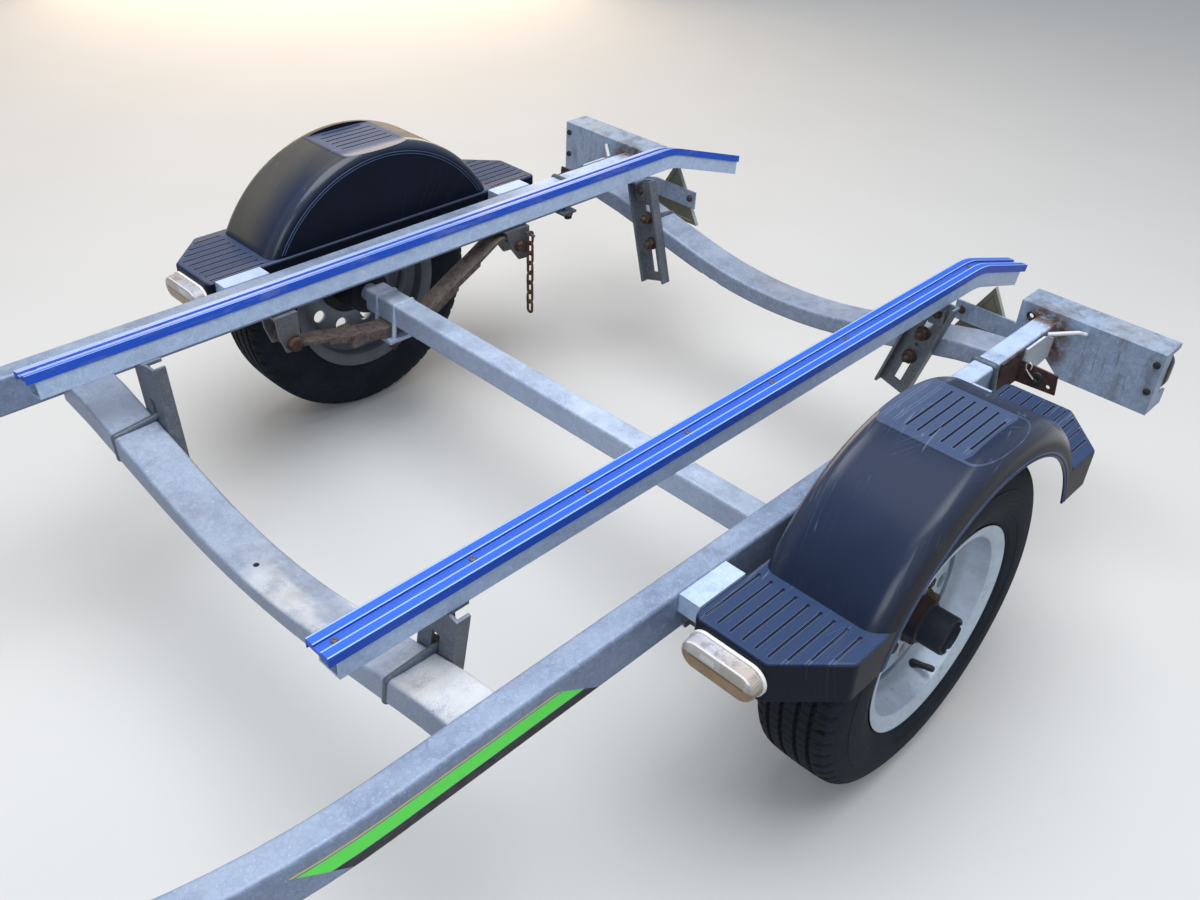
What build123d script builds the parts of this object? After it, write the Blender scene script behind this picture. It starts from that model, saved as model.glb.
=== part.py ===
from build123d import *
import math
import os

# Sizes are in millimetres. While the pieces are drawn, x is 0 at the wheels' axis and grows
# towards the coupling, y is 0 on the centre line and grows to the left, z is 0 on the ground.
# export_piece then moves everything by SHIFT_X, so that the origin is below the middle.

# Frame
RAIL_Y_IN = 504
RAIL_Y_OUT = 544
RAIL_Z_LOW = 360
RAIL_Z_TOP = 428
RAIL_X_REAR = -695
RAIL_BEND_X = 800
RAIL_BEND_R = 1000
RAIL_BEND_ANGLE = 26
TUBE_ROUND = 6
TONGUE_HALF = 30
TONGUE_X_REAR = 1710
TONGUE_X_FRONT = 2560
GUSSET_THICK = 6

# Crossmembers
CROSS_WIDTH = 75
FRONT_CROSS_X = 604
REAR_CROSS_X = -632
ARM_Y = 430
BOW_Y = 230
# heights at the rail, where the arm bends, where the bow starts and in the middle
FRONT_CROSS_TOP = (394, 386, 340, 310)
FRONT_CROSS_LOW = (347, 339, 301, 279)
REAR_CROSS_TOP = (400, 392, 346, 317)
REAR_CROSS_LOW = (364, 352, 307, 281)

# Axle and springs
AXLE_HALF = 25
AXLE_Y_END = 590
AXLE_Z = 271
STUB_R = 20
SPRING_Y = 524
SPRING_WIDTH = 45
LEAF = 7
EYE_X = 256
EYE_Z = 299
EYE_R = 15
SPRING_PIN_R = 8
CHEEK = 5
CLAMP_R = 5

# Wheels
WHEEL_Y = 684
TYRE_R = 271
TYRE_HALF = 73
RIM_HALF = 63
RIM_FLANGE_R = 170
RIM_SEAT_R = 152
RIM_WELL_R = 133
RIM_THICK = 4
HUB_FACE_Y = 664
DISC_BULGE = 8
VENT_COUNT = 10
VENT_R = 14
VENT_CIRCLE_R = 103
HUB_BOSS_R = 33
HUB_CAP_R = 29.5
HUB_CAP_Y = 768

# Fenders
FENDER_X = -37
ARCH_Z = 284
ARCH_GAP = 34
ARCH_R = TYRE_R + ARCH_GAP
ARCH_SHOULDER = 22
ARCH_LIP_DROP = 34
ARCH_OPEN_R = ARCH_R - 46
FENDER_Y_IN = 578
FENDER_Y_OUT = 770
STEP_Z = 426
SKIRT_Z = 362
STEP_X_HALF = 404
STEP_CHAMFER_X = 80
STEP_CHAMFER_Y = 76
STEP_CORNER_R = 14
SHELL = 3
STEP_EDGE_R = 5
PAD_DROP = 9
PAD_X_HALF = 90
PAD_Y_OUT = 732
PAD_CORNER_R = 36
GROOVE_WIDTH = 3.5
GROOVE_DEEP = 1.5
GROOVE_PITCH = 19.5
SIDE_GAP = 0.3

# Marker lamps
LAMP_Y = 641
LAMP_Z = 391
LAMP_LONG = 119
LAMP_HIGH = 48
GASKET = 5
LENS = 20

# Bunks
BUNK_Y = 377
BUNK_TUBE_HALF = 20
BUNK_STRIP_HALF = 22
BUNK_X_FRONT = 757
BUNK_BEND_X = -630
BUNK_BEND_R = 150
BUNK_TILT = 17.5
LEFT_TUBE_TAIL = 160
LEFT_STRIP_TAIL = 180
RIGHT_TUBE_TAIL = 202
RIGHT_STRIP_TAIL = 207
BUNK_Z_LOW = 457
BUNK_HIGH = 34
BUNK_WALL = 3
RIGHT_ROLL = 12
STRIP_GAP = 0.2
STRIP_FLOOR = 4
STRIP_RIB = 8
STRIP_GROOVE_HALF = 7
STRIP_SKIRT = 6
STRIP_SIDE = 1.7
STRIP_OVERHANG = 12

# Bunk brackets
BRACKET_WIDTH = 67
BRACKET_DEPTH = 22
BRACKET_WALL = 5
BRACKET_LONG = 232
SLOT_W = 15
U_BOLT_R = 6
TAB_REACH = 32

# Rear lamp plates
PLATE_GAP = 0.3
PLATE_DEPTH = 66
PLATE_Y_IN = 470
PLATE_Y_OUT = 740
PLATE_Z_TOP = 446
PLATE_Z_LOW = 323
PLATE_THICK = 4.5
PLATE_X = RAIL_X_REAR - PLATE_GAP
PLATE_X_REAR = PLATE_X - PLATE_DEPTH

# Front end
POST_X = 2060
POST_Z_TOP = 840
POST_HALF = 25
WINCH_Z = POST_Z_TOP - 80
DRUM_X = POST_X + POST_HALF + 55
CRANK_X = DRUM_X + 33
CRANK_Z = WINCH_Z + 44
CRANK_ARM = 180
JOCKEY_X = 2330
JOCKEY_Y = 92
JOCKEY_TUBE_R = 25
JOCKEY_WHEEL_R = 100
JOCKEY_TRAIL = 55
JOCKEY_TRAVEL = 145
FORK_Z = 217
FORK_THICK = 6
FORK_Y_HALF = 40
TUBE_Z_LOW = FORK_Z + JOCKEY_TRAVEL + 8
TUBE_Z_TOP = 700
BALL_R = 25.3
FRONT_X = 2720

STRIP_BEND_R = BUNK_BEND_R + BUNK_HIGH + STRIP_GAP + STRIP_RIB
REAR_X = (BUNK_BEND_X - STRIP_BEND_R * math.sin(math.radians(BUNK_TILT))
          - RIGHT_STRIP_TAIL * math.cos(math.radians(BUNK_TILT)))
SHIFT_X = -(FRONT_X + REAR_X) / 2


def block(x0, x1, y0, y1, z0, z1):
    """A box between two corners."""
    box = Box(x1 - x0, y1 - y0, z1 - z0)
    return Pos((x0 + x1) / 2, (y0 + y1) / 2, (z0 + z1) / 2) * box


def rod_x(x0, x1, y, z, r):
    """A round bar along x."""
    return Pos((x0 + x1) / 2, y, z) * Rot(0, 90, 0) * Cylinder(r, x1 - x0)


def rod_y(x, y0, y1, z, r):
    """A round bar along y."""
    return Pos(x, (y0 + y1) / 2, z) * Rot(90, 0, 0) * Cylinder(r, y1 - y0)


def rod_z(x, y, z0, z1, r):
    """A round bar along z."""
    return Pos(x, y, (z0 + z1) / 2) * Cylinder(r, z1 - z0)


def plate_xz(points, y0, y1):
    """A flat plate whose outline is given as (x, z)."""
    outline = Polyline(*[(x, y0, z) for x, z in points], close=True)
    return extrude(make_face(outline), amount=y1 - y0, dir=(0, 1, 0))


def plate_yz(points, x0, x1):
    """A flat plate whose outline is given as (y, z)."""
    outline = Polyline(*[(x0, y, z) for y, z in points], close=True)
    return extrude(make_face(outline), amount=x1 - x0, dir=(1, 0, 0))


def plate_xy(points, z0, z1):
    """A flat plate whose outline is given as (x, y)."""
    outline = Polyline(*[(x, y, z0) for x, y in points], close=True)
    return extrude(make_face(outline), amount=z1 - z0, dir=(0, 0, 1))


def turned_y(points, x, y, z):
    """A body turned about an axis along y, from (distance along y, radius)."""
    outline = Polyline(*[(0, a, r) for a, r in points], close=True)
    return Pos(x, y, z) * revolve(make_face(outline), Axis.Y)


def joined(shapes):
    """Several touching shapes as one."""
    body = shapes[0]
    for shape in shapes[1:]:
        body = body + shape
    return body


def mirrored(shape):
    """The same piece on the other side of the trailer."""
    return mirror(shape, about=Plane.XZ)


def both(shapes):
    """Each piece and its twin on the other side."""
    return shapes + [mirrored(shape) for shape in shapes]


def rolled(shape):
    """A piece of a bunk tilted outwards about the tube's lower inner edge, as the right one has settled."""
    edge_y = BUNK_Y - BUNK_TUBE_HALF
    return Pos(0, edge_y, BUNK_Z_LOW) * Rot(-RIGHT_ROLL, 0, 0) * Pos(0, -edge_y, -BUNK_Z_LOW) * shape


def export_piece(name, shapes):
    """Write a piece, one solid or several that don't touch, to its own file."""
    shapes = shapes if isinstance(shapes, list) else [shapes]
    solids = [solid for shape in shapes for solid in shape.solids()]
    piece = solids[0] if len(solids) == 1 else Compound(children=solids)
    export_step(Pos(SHIFT_X, 0, 0) * piece, f"parts/{name}.step")


def rail(side):
    """A main rail: straight at the rear, then bent inwards to the tongue; side is 1 left, -1 right."""
    angle = math.radians(RAIL_BEND_ANGLE)
    centre_y = RAIL_Y_OUT - RAIL_BEND_R
    edges = []
    ends = []
    for y in (RAIL_Y_OUT, RAIL_Y_IN):
        radius = y - centre_y
        bend_end = (RAIL_BEND_X + radius * math.sin(angle), centre_y + radius * math.cos(angle))
        run = (bend_end[1] - TONGUE_HALF) / math.tan(angle)
        tip = (bend_end[0] + run, TONGUE_HALF)
        middle = (RAIL_BEND_X + radius * math.sin(angle / 2), centre_y + radius * math.cos(angle / 2))
        rear, start, middle, bend_end, tip = [(px, side * py) for px, py in (
            (RAIL_X_REAR, y), (RAIL_BEND_X, y), middle, bend_end, tip)]
        edges.append(Line(rear, start))
        edges.append(ThreePointArc(start, middle, bend_end))
        edges.append(Line(bend_end, tip))
        ends.append(tip)
    edges.append(Line((RAIL_X_REAR, side * RAIL_Y_OUT), (RAIL_X_REAR, side * RAIL_Y_IN)))
    edges.append(Line(*ends))
    solid = Pos(0, 0, RAIL_Z_LOW) * extrude(make_face(edges), amount=RAIL_Z_TOP - RAIL_Z_LOW, dir=(0, 0, 1))
    long_edges = [e for e in solid.edges() if e.length > 150 and abs(e.tangent_at(0.5).Z) < 0.01]
    return fillet(long_edges, TUBE_ROUND)


def crossmember(x0, top, low):
    """A rectangular tube across the rails, bowed down between two arms."""
    ys = (RAIL_Y_IN, ARM_Y, BOW_Y, 0)
    edges = []
    for line in (top, low):
        points = [(x0, y, z) for y, z in zip(ys, line)]
        twins = [(x0, -y, z) for y, z in zip(ys, line)]
        edges.append(Line(points[0], points[1]))
        edges.append(Line(points[1], points[2]))
        edges.append(ThreePointArc(points[2], points[3], twins[2]))
        edges.append(Line(twins[2], twins[1]))
        edges.append(Line(twins[1], twins[0]))
    for y in (RAIL_Y_IN, -RAIL_Y_IN):
        edges.append(Line((x0, y, low[0]), (x0, y, top[0])))
    solid = extrude(make_face(edges), amount=CROSS_WIDTH, dir=(1, 0, 0))
    long_edges = [e for e in solid.edges() if abs(e.tangent_at(0.5).Y) > 0.9]
    return fillet(long_edges, TUBE_ROUND)


def tyre():
    """A road tyre about the wheel's centre, left side."""
    # distance from the middle, radius
    half = [(0, TYRE_R), (46, TYRE_R - 2.5), (58, TYRE_R - 9), (68, TYRE_R - 30), (TYRE_HALF, TYRE_R - 52),
            (71, RIM_FLANGE_R + 22), (62, RIM_FLANGE_R + 1), (56, RIM_SEAT_R + 5), (53.5, RIM_SEAT_R + 0.4)]
    outline = half + [(-a, r) for a, r in reversed(half[1:])]
    return turned_y(outline, 0, WHEEL_Y, AXLE_Z)


def wheel():
    """A pressed steel wheel with its disc far inboard, left side."""
    t = RIM_THICK
    # distance from the middle, outer radius
    skin = [(-RIM_HALF, RIM_FLANGE_R), (-RIM_HALF + 6, RIM_SEAT_R + 4), (-RIM_HALF + 9, RIM_SEAT_R),
            (-34, RIM_SEAT_R - 2), (-24, RIM_WELL_R), (8, RIM_WELL_R), (24, RIM_SEAT_R - 6),
            (RIM_HALF - 9, RIM_SEAT_R), (RIM_HALF - 6, RIM_SEAT_R + 4), (RIM_HALF, RIM_FLANGE_R)]
    under = [(-RIM_HALF - 1, RIM_FLANGE_R), (-RIM_HALF + 1, RIM_SEAT_R), (-RIM_HALF + 5, RIM_SEAT_R - t),
             (-36, RIM_SEAT_R - 2 - t), (-27, RIM_WELL_R - t), (10, RIM_WELL_R - t), (26, RIM_SEAT_R - 6 - t),
             (RIM_HALF - 5, RIM_SEAT_R - t), (RIM_HALF - 1, RIM_SEAT_R), (RIM_HALF + 1, RIM_FLANGE_R)]
    barrel = turned_y(skin + list(reversed(under)), 0, WHEEL_Y, AXLE_Z)
    a = HUB_FACE_Y - WHEEL_Y
    b = a + DISC_BULGE
    weld = RIM_WELL_R - t + 1
    disc = [(a, HUB_BOSS_R + 1), (a, 76), (b, 84), (b, 120), (a + 2, weld - 2), (a + 2, weld),
            (a + 14, weld), (a + 14, weld - 5), (b + t, 122), (b + t, 82), (a + t, 74),
            (a + t, HUB_BOSS_R + 1)]
    body = barrel + turned_y(disc, 0, WHEEL_Y, AXLE_Z)
    for i in range(VENT_COUNT):
        turn = math.radians(360 / VENT_COUNT * i + 4)
        x = VENT_CIRCLE_R * math.cos(turn)
        z = AXLE_Z + VENT_CIRCLE_R * math.sin(turn)
        body = body - rod_y(x, HUB_FACE_Y - 20, HUB_FACE_Y + 30, z, VENT_R)
    return body


def hub():
    """The hub with its flange and long grease cap, left side."""
    a = HUB_FACE_Y - WHEEL_Y
    end = HUB_CAP_Y - WHEEL_Y
    # distance from the wheel's middle, radius
    outline = [(a - 52, 0), (a - 52, 46), (a - 14, 50), (a - 12, 70), (a - 0.2, 70), (a - 0.2, HUB_BOSS_R),
               (a + 34, HUB_BOSS_R), (a + 44, HUB_CAP_R + 2), (a + 47, HUB_CAP_R), (end - 3, HUB_CAP_R),
               (end, HUB_CAP_R - 3), (end, 0)]
    body = turned_y(outline, 0, WHEEL_Y, AXLE_Z)
    return body - rod_y(0, HUB_FACE_Y - 60, HUB_FACE_Y + 12, AXLE_Z, STUB_R + 0.08)


def arch_body(inset):
    """The fender's arch as a full turned body, drawn smaller by inset."""
    y0 = FENDER_Y_IN + 4 + inset
    y1 = FENDER_Y_OUT - inset
    r = ARCH_R - inset
    s = ARCH_SHOULDER
    lip = r - ARCH_LIP_DROP
    half_turn = s * (1 - math.cos(math.pi / 4))
    edges = [
        Line((0, y0, 0), (0, y0, r - s)),
        ThreePointArc((0, y0, r - s), (0, y0 + half_turn, r - half_turn), (0, y0 + s, r)),
        Line((0, y0 + s, r), (0, y1 - 34, r)),
        ThreePointArc((0, y1 - 34, r), (0, y1 - 11, r - 9), (0, y1, lip)),
        Line((0, y1, lip), (0, y1, 0)),
        Line((0, y1, 0), (0, y0, 0)),
    ]
    return Pos(FENDER_X, 0, ARCH_Z) * revolve(make_face(edges), Axis.Y)


def step_body(inset, low):
    """The fender's two steps as one block, drawn smaller by inset."""
    x0 = FENDER_X - STEP_X_HALF + inset
    x1 = FENDER_X + STEP_X_HALF - inset
    y0 = FENDER_Y_IN + inset
    y1 = FENDER_Y_OUT - inset
    points = [(x0, y0), (x1, y0), (x1, y1 - STEP_CHAMFER_Y), (x1 - STEP_CHAMFER_X, y1),
              (x0 + STEP_CHAMFER_X, y1), (x0, y1 - STEP_CHAMFER_Y)]
    body = plate_xy(points, low, STEP_Z - inset)
    body = fillet(body.edges().filter_by(Axis.Z), STEP_CORNER_R - inset)
    return fillet(body.edges().group_by(Axis.Z)[-1], STEP_EDGE_R - inset)


def pad_pocket(depth, spread):
    """What is taken off the arch's top, from its inner side, to make the flat grooved pad."""
    z0 = ARCH_Z + ARCH_R - PAD_DROP - depth
    half = PAD_X_HALF + spread
    pocket = block(FENDER_X - half, FENDER_X + half, FENDER_Y_IN - 20, PAD_Y_OUT + spread, z0, z0 + 40)
    outer_corners = pocket.edges().filter_by(Axis.Z).group_by(Axis.Y)[-1]
    return fillet(outer_corners, PAD_CORNER_R + spread)


def fender():
    """A moulded fender: an arch between two steps, open below and outwards, left side."""
    below = block(-900, 900, 0, 900, -300, SKIRT_Z)
    outer = arch_body(0) - pad_pocket(0, 0) - below + step_body(0, SKIRT_Z)
    inner = arch_body(SHELL) - pad_pocket(SHELL, SHELL) + step_body(SHELL, SKIRT_Z - 100)
    opening = rod_y(FENDER_X, FENDER_Y_OUT - 60, FENDER_Y_OUT + 60, ARCH_Z, ARCH_OPEN_R)
    body = outer - inner - opening
    foot = math.sqrt(ARCH_R ** 2 - (STEP_Z - ARCH_Z) ** 2) + 12
    grooves = []
    for i in range(9):
        y = FENDER_Y_IN + 12 + GROOVE_PITCH * i
        past = max(0, y - (FENDER_Y_OUT - STEP_CHAMFER_Y))
        reach = STEP_X_HALF - 12 - past * STEP_CHAMFER_X / STEP_CHAMFER_Y
        for side in (-1, 1):
            x0, x1 = sorted((FENDER_X + side * foot, FENDER_X + side * reach))
            y0 = y - GROOVE_WIDTH / 2
            grooves.append(block(x0, x1, y0, y0 + GROOVE_WIDTH, STEP_Z - GROOVE_DEEP, STEP_Z + 5))
    pad_z = ARCH_Z + ARCH_R - PAD_DROP
    for i in range(6):
        y0 = PAD_Y_OUT - 100 + 17.5 * i
        short = 14 if i == 5 else 0
        grooves.append(block(FENDER_X - 62 + short, FENDER_X + 58 - short, y0, y0 + GROOVE_WIDTH,
                             pad_z - GROOVE_DEEP, pad_z + 5))
    for groove in grooves:
        body = body - groove
    return body


def spring_line():
    """The main leaf's top as (x, z): an eye, a flat seat below the axle and a rising tail."""
    seat = AXLE_Z - AXLE_HALF
    return [(EYE_X - 4, EYE_Z - EYE_R + 7), (175, 274), (114, 258), (45, seat), (-45, seat), (-80, seat + 4),
            (-150, 288), (-212, 318), (-262, 346), (-306, 353)]


def leaf_spring():
    """A leaf pack with an eye at the front and a slipper at the rear, left side."""
    line = spring_line()
    # depth in the pack, first and last place on the line
    leaves = [(0, 0, 9), (1, 1, 7), (2, 2, 6)]
    y0 = SPRING_Y - SPRING_WIDTH / 2
    y1 = SPRING_Y + SPRING_WIDTH / 2
    pieces = []
    for depth, first, last in leaves:
        top = [(x, z - depth * LEAF) for x, z in line[first:last + 1]]
        low = [(x, z - LEAF) for x, z in reversed(top)]
        pieces.append(plate_xz(top + low, y0, y1))
    pieces.append(rod_y(EYE_X, y0, y1, EYE_Z, EYE_R))
    x, z = line[2]
    pieces.append(block(x - 12, x + 12, y0 - 4, y1 + 4, z - 3.4 * LEAF, z + 4))
    return joined(pieces) - rod_y(EYE_X, y0 - 1, y1 + 1, EYE_Z, SPRING_PIN_R + 0.3)


def spring_hangers():
    """The folded plates that hold the spring's ends under the rail, left side."""
    half = SPRING_WIDTH / 2 + 0.3
    top = RAIL_Z_LOW - 0.1
    # outline as (x, z) of a cheek
    front = [(240, top), (288, top), (284, 318), (272, 282), (246, 282), (240, 296)]
    rear = [(-282, top), (-348, top), (-348, 300), (-340, 286), (-318, 288), (-296, 318)]
    pieces = []
    for points, x0, x1 in ((front, 240, 288), (rear, -348, -282)):
        plates = [block(x0, x1, SPRING_Y - half - CHEEK, SPRING_Y + half + CHEEK, top - 5, top)]
        for y0 in (SPRING_Y - half - CHEEK, SPRING_Y + half):
            plates.append(plate_xz(points, y0, y0 + CHEEK))
        pieces.append(joined(plates))
    pin = rod_y(EYE_X, SPRING_Y - half - CHEEK - 10, SPRING_Y + half + CHEEK + 10, EYE_Z, SPRING_PIN_R)
    pieces[0] = pieces[0] + pin
    rest = rod_y(-318, SPRING_Y - half - CHEEK - 8, SPRING_Y + half + CHEEK + 8, 322, 7)
    pieces[1] = pieces[1] + rest
    return pieces


def axle_clamp():
    """Two U-bolts over the axle and the plate below the spring, left side."""
    z_top = AXLE_Z + AXLE_HALF + CLAMP_R + 0.2
    x = AXLE_HALF + CLAMP_R + 0.3
    z_plate = AXLE_Z - AXLE_HALF - 3 * LEAF - 0.3
    half = SPRING_WIDTH / 2 + CLAMP_R + 1
    pieces = [block(-44, 44, SPRING_Y - half - 8, SPRING_Y + half + 8, z_plate - 9, z_plate)]
    for y in (SPRING_Y - half, SPRING_Y + half):
        pieces.append(block(-x - CLAMP_R, x + CLAMP_R, y - CLAMP_R, y + CLAMP_R,
                            z_top - CLAMP_R, z_top + CLAMP_R))
        for side in (-x, x):
            pieces.append(rod_z(side, y, z_plate - 20, z_top, CLAMP_R))
    return joined(pieces)


def bunk_layer(h0, h1, y0, y1, x_front, tail):
    """A bar along a bunk between two heights above its underside, bent down at the rear."""
    angle = math.radians(BUNK_TILT)
    centre_z = BUNK_Z_LOW - BUNK_BEND_R
    faces = []
    for h in (h0, h1):
        r = BUNK_BEND_R + h

        def on_arc(turn):
            return (BUNK_BEND_X - r * math.sin(turn), y0, centre_z + r * math.cos(turn))

        end = on_arc(angle)
        last = (end[0] - tail * math.cos(angle), y0, end[2] - tail * math.sin(angle))
        faces.append(((x_front, y0, BUNK_Z_LOW + h), on_arc(0), on_arc(angle / 2), end, last))
    edges = []
    for front, start, middle, end, last in faces:
        edges.append(Line(front, start))
        edges.append(ThreePointArc(start, middle, end))
        edges.append(Line(end, last))
    edges.append(Line(faces[0][0], faces[1][0]))
    edges.append(Line(faces[0][4], faces[1][4]))
    return extrude(make_face(edges), amount=y1 - y0, dir=(0, 1, 0))


def bunk_tube(tail):
    """A bunk's galvanised tube, open at both ends, left side."""
    y0 = BUNK_Y - BUNK_TUBE_HALF
    y1 = BUNK_Y + BUNK_TUBE_HALF
    t = BUNK_WALL
    outer = bunk_layer(0, BUNK_HIGH, y0, y1, BUNK_X_FRONT, tail)
    inner = bunk_layer(t, BUNK_HIGH - t, y0 + t, y1 - t, BUNK_X_FRONT + 10, tail + 10)
    return outer - inner


def bunk_strip(tail):
    """The plastic strip on a bunk, with a groove for its screws and sides that lap the tube, left side."""
    y0 = BUNK_Y - BUNK_STRIP_HALF
    y1 = BUNK_Y + BUNK_STRIP_HALF
    base = BUNK_HIGH + STRIP_GAP
    x_front = BUNK_X_FRONT + STRIP_OVERHANG
    # bottom, top, from y, to y
    parts = [(0, STRIP_FLOOR, y0, y1), (0, STRIP_RIB, y0, BUNK_Y - STRIP_GROOVE_HALF),
             (0, STRIP_RIB, BUNK_Y + STRIP_GROOVE_HALF, y1), (-STRIP_SKIRT, STRIP_FLOOR, y0, y0 + STRIP_SIDE),
             (-STRIP_SKIRT, STRIP_FLOOR, y1 - STRIP_SIDE, y1)]
    return joined([bunk_layer(base + low, base + top, a, b, x_front, tail) for low, top, a, b in parts])


def bolt_place(row, line, offset):
    """How far up a channel its slot crosses a crossmember's edge, and the y and z there."""
    lean = math.radians(row["lean"])
    slope = (line[1] - line[2]) / (ARM_Y - BOW_Y)
    across = BRACKET_WIDTH / 2
    y0 = row["y"] + across * math.cos(lean)
    z0 = row["z"] - across * math.sin(lean)
    edge = line[2] + slope * (y0 - BOW_Y) + offset
    up = (edge - z0) / (math.cos(lean) - slope * math.sin(lean))
    return up, y0 + up * math.sin(lean), z0 + up * math.cos(lean)


def bolt_places(row):
    """The upper and the lower leg of the U-bolt that holds a channel."""
    seat = U_BOLT_R + 0.4
    return bolt_place(row, row["top"], seat), bolt_place(row, row["low"], -seat)


def bunk_bracket(row):
    """A slotted channel against a crossmember's face, leaning outwards and cut off below the bunk."""
    t = BRACKET_WALL
    w = BRACKET_WIDTH
    channel = block(0, t, 0, w, 0, BRACKET_LONG)
    for y0 in (0, w - t):
        channel = channel + block(0, BRACKET_DEPTH, y0, y0 + t, 0, BRACKET_LONG)
    upper, lower = bolt_places(row)
    # from z, to z
    for z0, z1 in [(20, lower[0] + SLOT_W / 2), (upper[0] - SLOT_W / 2, upper[0] + 28)]:
        channel = channel - block(-1, t + 1, w / 2 - SLOT_W / 2, w / 2 + SLOT_W / 2, z0, z1)
    channel = channel - rod_x(-1, t + 1, w / 2, (upper[0] + lower[0]) / 2, 4)
    if not row["forward"]:
        channel = mirror(channel, about=Plane.YZ)
    placed = Pos(row["x"], row["y"], row["z"]) * Rot(-row["lean"], 0, 0) * channel
    above = block(row["x"] - 60, row["x"] + 60, 0, 600, BUNK_Z_LOW - 0.2, BUNK_Z_LOW + 100)
    return placed - (rolled(above) if row["rolled"] else above)


def bracket_tab(row):
    """The small angle between a channel's top and the bunk's underside."""
    t = BRACKET_WALL
    z1 = BUNK_Z_LOW - 0.2
    way = 1 if row["forward"] else -1
    x_leg = sorted((row["x"] + way * (t + 0.2), row["x"] + way * (2 * t + 0.2)))
    x_top = sorted((row["x"] + way * (t + 0.2), row["x"] + way * TAB_REACH))
    tab = block(*x_leg, *row["tab"], z1 - 46, z1) + block(*x_top, *row["tab"], z1 - t, z1)
    return rolled(tab) if row["rolled"] else tab


def rod_between(p, q, r):
    """A round bar from one point to another."""
    along = Vector(*q) - Vector(*p)
    return extrude(Plane(origin=p, z_dir=along) * Circle(r), amount=along.length)


def bunk_u_bolt(row):
    """A U-bolt round a crossmember whose legs pass through a channel's slots."""
    r = U_BOLT_R
    way = 1 if row["forward"] else -1
    x_bend = row["x"] - way * (CROSS_WIDTH + r + 0.6)
    x_end = row["x"] + way * BRACKET_DEPTH
    (up, y_up, z_up), (down, y_low, z_low) = bolt_places(row)
    lean = math.radians(row["lean"])
    past = r + 0.7
    dy = past * math.sin(lean)
    dz = past * math.cos(lean)
    legs = [rod_between((x_bend, y, z), (x_end, y, z), r) for y, z in ((y_up, z_up), (y_low, z_low))]
    bend = rod_between((x_bend, y_low - dy, z_low - dz), (x_bend, y_up + dy, z_up + dz), r + 0.3)
    return joined(legs + [bend])


def lamp_plate():
    """The channel that carries the rear lamps, with the bar for a reflector, left side."""
    t = PLATE_THICK
    x = PLATE_X
    corners = [(PLATE_Y_IN, PLATE_Z_TOP), (PLATE_Y_OUT, PLATE_Z_TOP), (PLATE_Y_OUT, PLATE_Z_LOW),
               (574, PLATE_Z_LOW), (RAIL_Y_OUT, 350), (RAIL_Y_OUT - 20, 368), (PLATE_Y_IN, 372)]
    web = plate_yz(corners, x - t, x)
    top = block(PLATE_X_REAR, x, PLATE_Y_IN, PLATE_Y_OUT, PLATE_Z_TOP - t, PLATE_Z_TOP)
    end = block(PLATE_X_REAR, x, PLATE_Y_OUT - t, PLATE_Y_OUT, PLATE_Z_LOW, PLATE_Z_TOP)
    notch = block(PLATE_X_REAR - 1, x - 34, PLATE_Y_OUT - 20, PLATE_Y_OUT + 1, 352, 436)
    # x, y of a strip that steps back behind the web
    strip = [(x - t, 502), (x - t, 478), (x - 21, 456), (x - 21, 337), (x - 25, 337), (x - 25, 458),
             (x - t - 4, 482), (x - t - 4, 502)]
    bar = plate_xy(strip, 346, 386)
    body = joined([web, top, end - notch, bar])
    return body - rod_x(x - t - 1, x + 1, 494, 422, 5) - rod_x(x - t - 1, x + 1, 729, 422, 4)


def tie_hook():
    """The bent rod between a rail's top and its lamp plate, left side."""
    corner = (PLATE_X + 14, 590, 432)
    start = (-648, RAIL_Y_OUT + 5, RAIL_Z_TOP - 4)
    end = (PLATE_X + 3.2, 600, 428)
    return joined([rod_between(start, corner, 4), Pos(*corner) * Sphere(4), rod_between(corner, end, 4)])


def side_bracket():
    """The rusty angle bolted to the rail's outer face behind the fender, left side."""
    y = RAIL_Y_OUT + 0.2
    along = block(-560, -484, y, y + 4, 362, 426)
    across = plate_yz([(y, 405), (617, 403), (621, 366), (y, 362)], -564, -560)
    holes = rod_x(-570, -550, 606, 376, 4)
    for x in (-544, -503):
        holes = holes + rod_y(x, y - 5, y + 10, 417, 4)
    return along + across - holes


def rail_u_bolt():
    """The U-bolt over a rail that holds the side bracket, left side."""
    r = U_BOLT_R
    z = RAIL_Z_TOP + r + 0.2
    y0 = RAIL_Y_IN - r - 0.3
    y1 = RAIL_Y_OUT + r + 0.3
    top = block(-466 - r, -466 + r, y0 - r, y1 + r, z - r, z + r)
    foot = block(-486, -446, y0 - 8, y1 + 8, RAIL_Z_LOW - 6.2, RAIL_Z_LOW - 0.2)
    return joined([top, foot] + [rod_z(-466, y, RAIL_Z_LOW - 18, z, r) for y in (y0, y1)])


def gusset():
    """The thick plate on the rail's outer face in front of the lamp plate, left side."""
    points = [(-566, 426), (-567, 400), (-627, 366), (-671, 370), (-676, 408), (-634, 426)]
    return plate_xz(points, RAIL_Y_OUT + 4.4, RAIL_Y_OUT + 9)


def chain_link(length, width, wire):
    """One link lying in the xz plane with its length along z."""
    def loop(p, q):
        k = q * 0.55
        right_side = [(k, -p), (q, -p + q - k), (q, p - q + k), (k, p)]
        return right_side + [(-a, b) for a, b in reversed(right_side)]

    outer = plate_xz(loop(length / 2, width / 2), -wire / 2, wire / 2)
    return outer - plate_xz(loop(length / 2 - wire, width / 2 - wire), -wire, wire)


def chain(x, y, z_top, count, pitch, wire):
    """Links hanging from a pin below z_top, each turned a quarter from the last."""
    links = []
    for i in range(count):
        link = chain_link(pitch + 2 * wire, 3.4 * wire, wire)
        links.append(Pos(x, y, z_top - pitch * (i + 0.5)) * Rot(0, 0, 90 * (i % 2)) * link)
    return links


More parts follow.
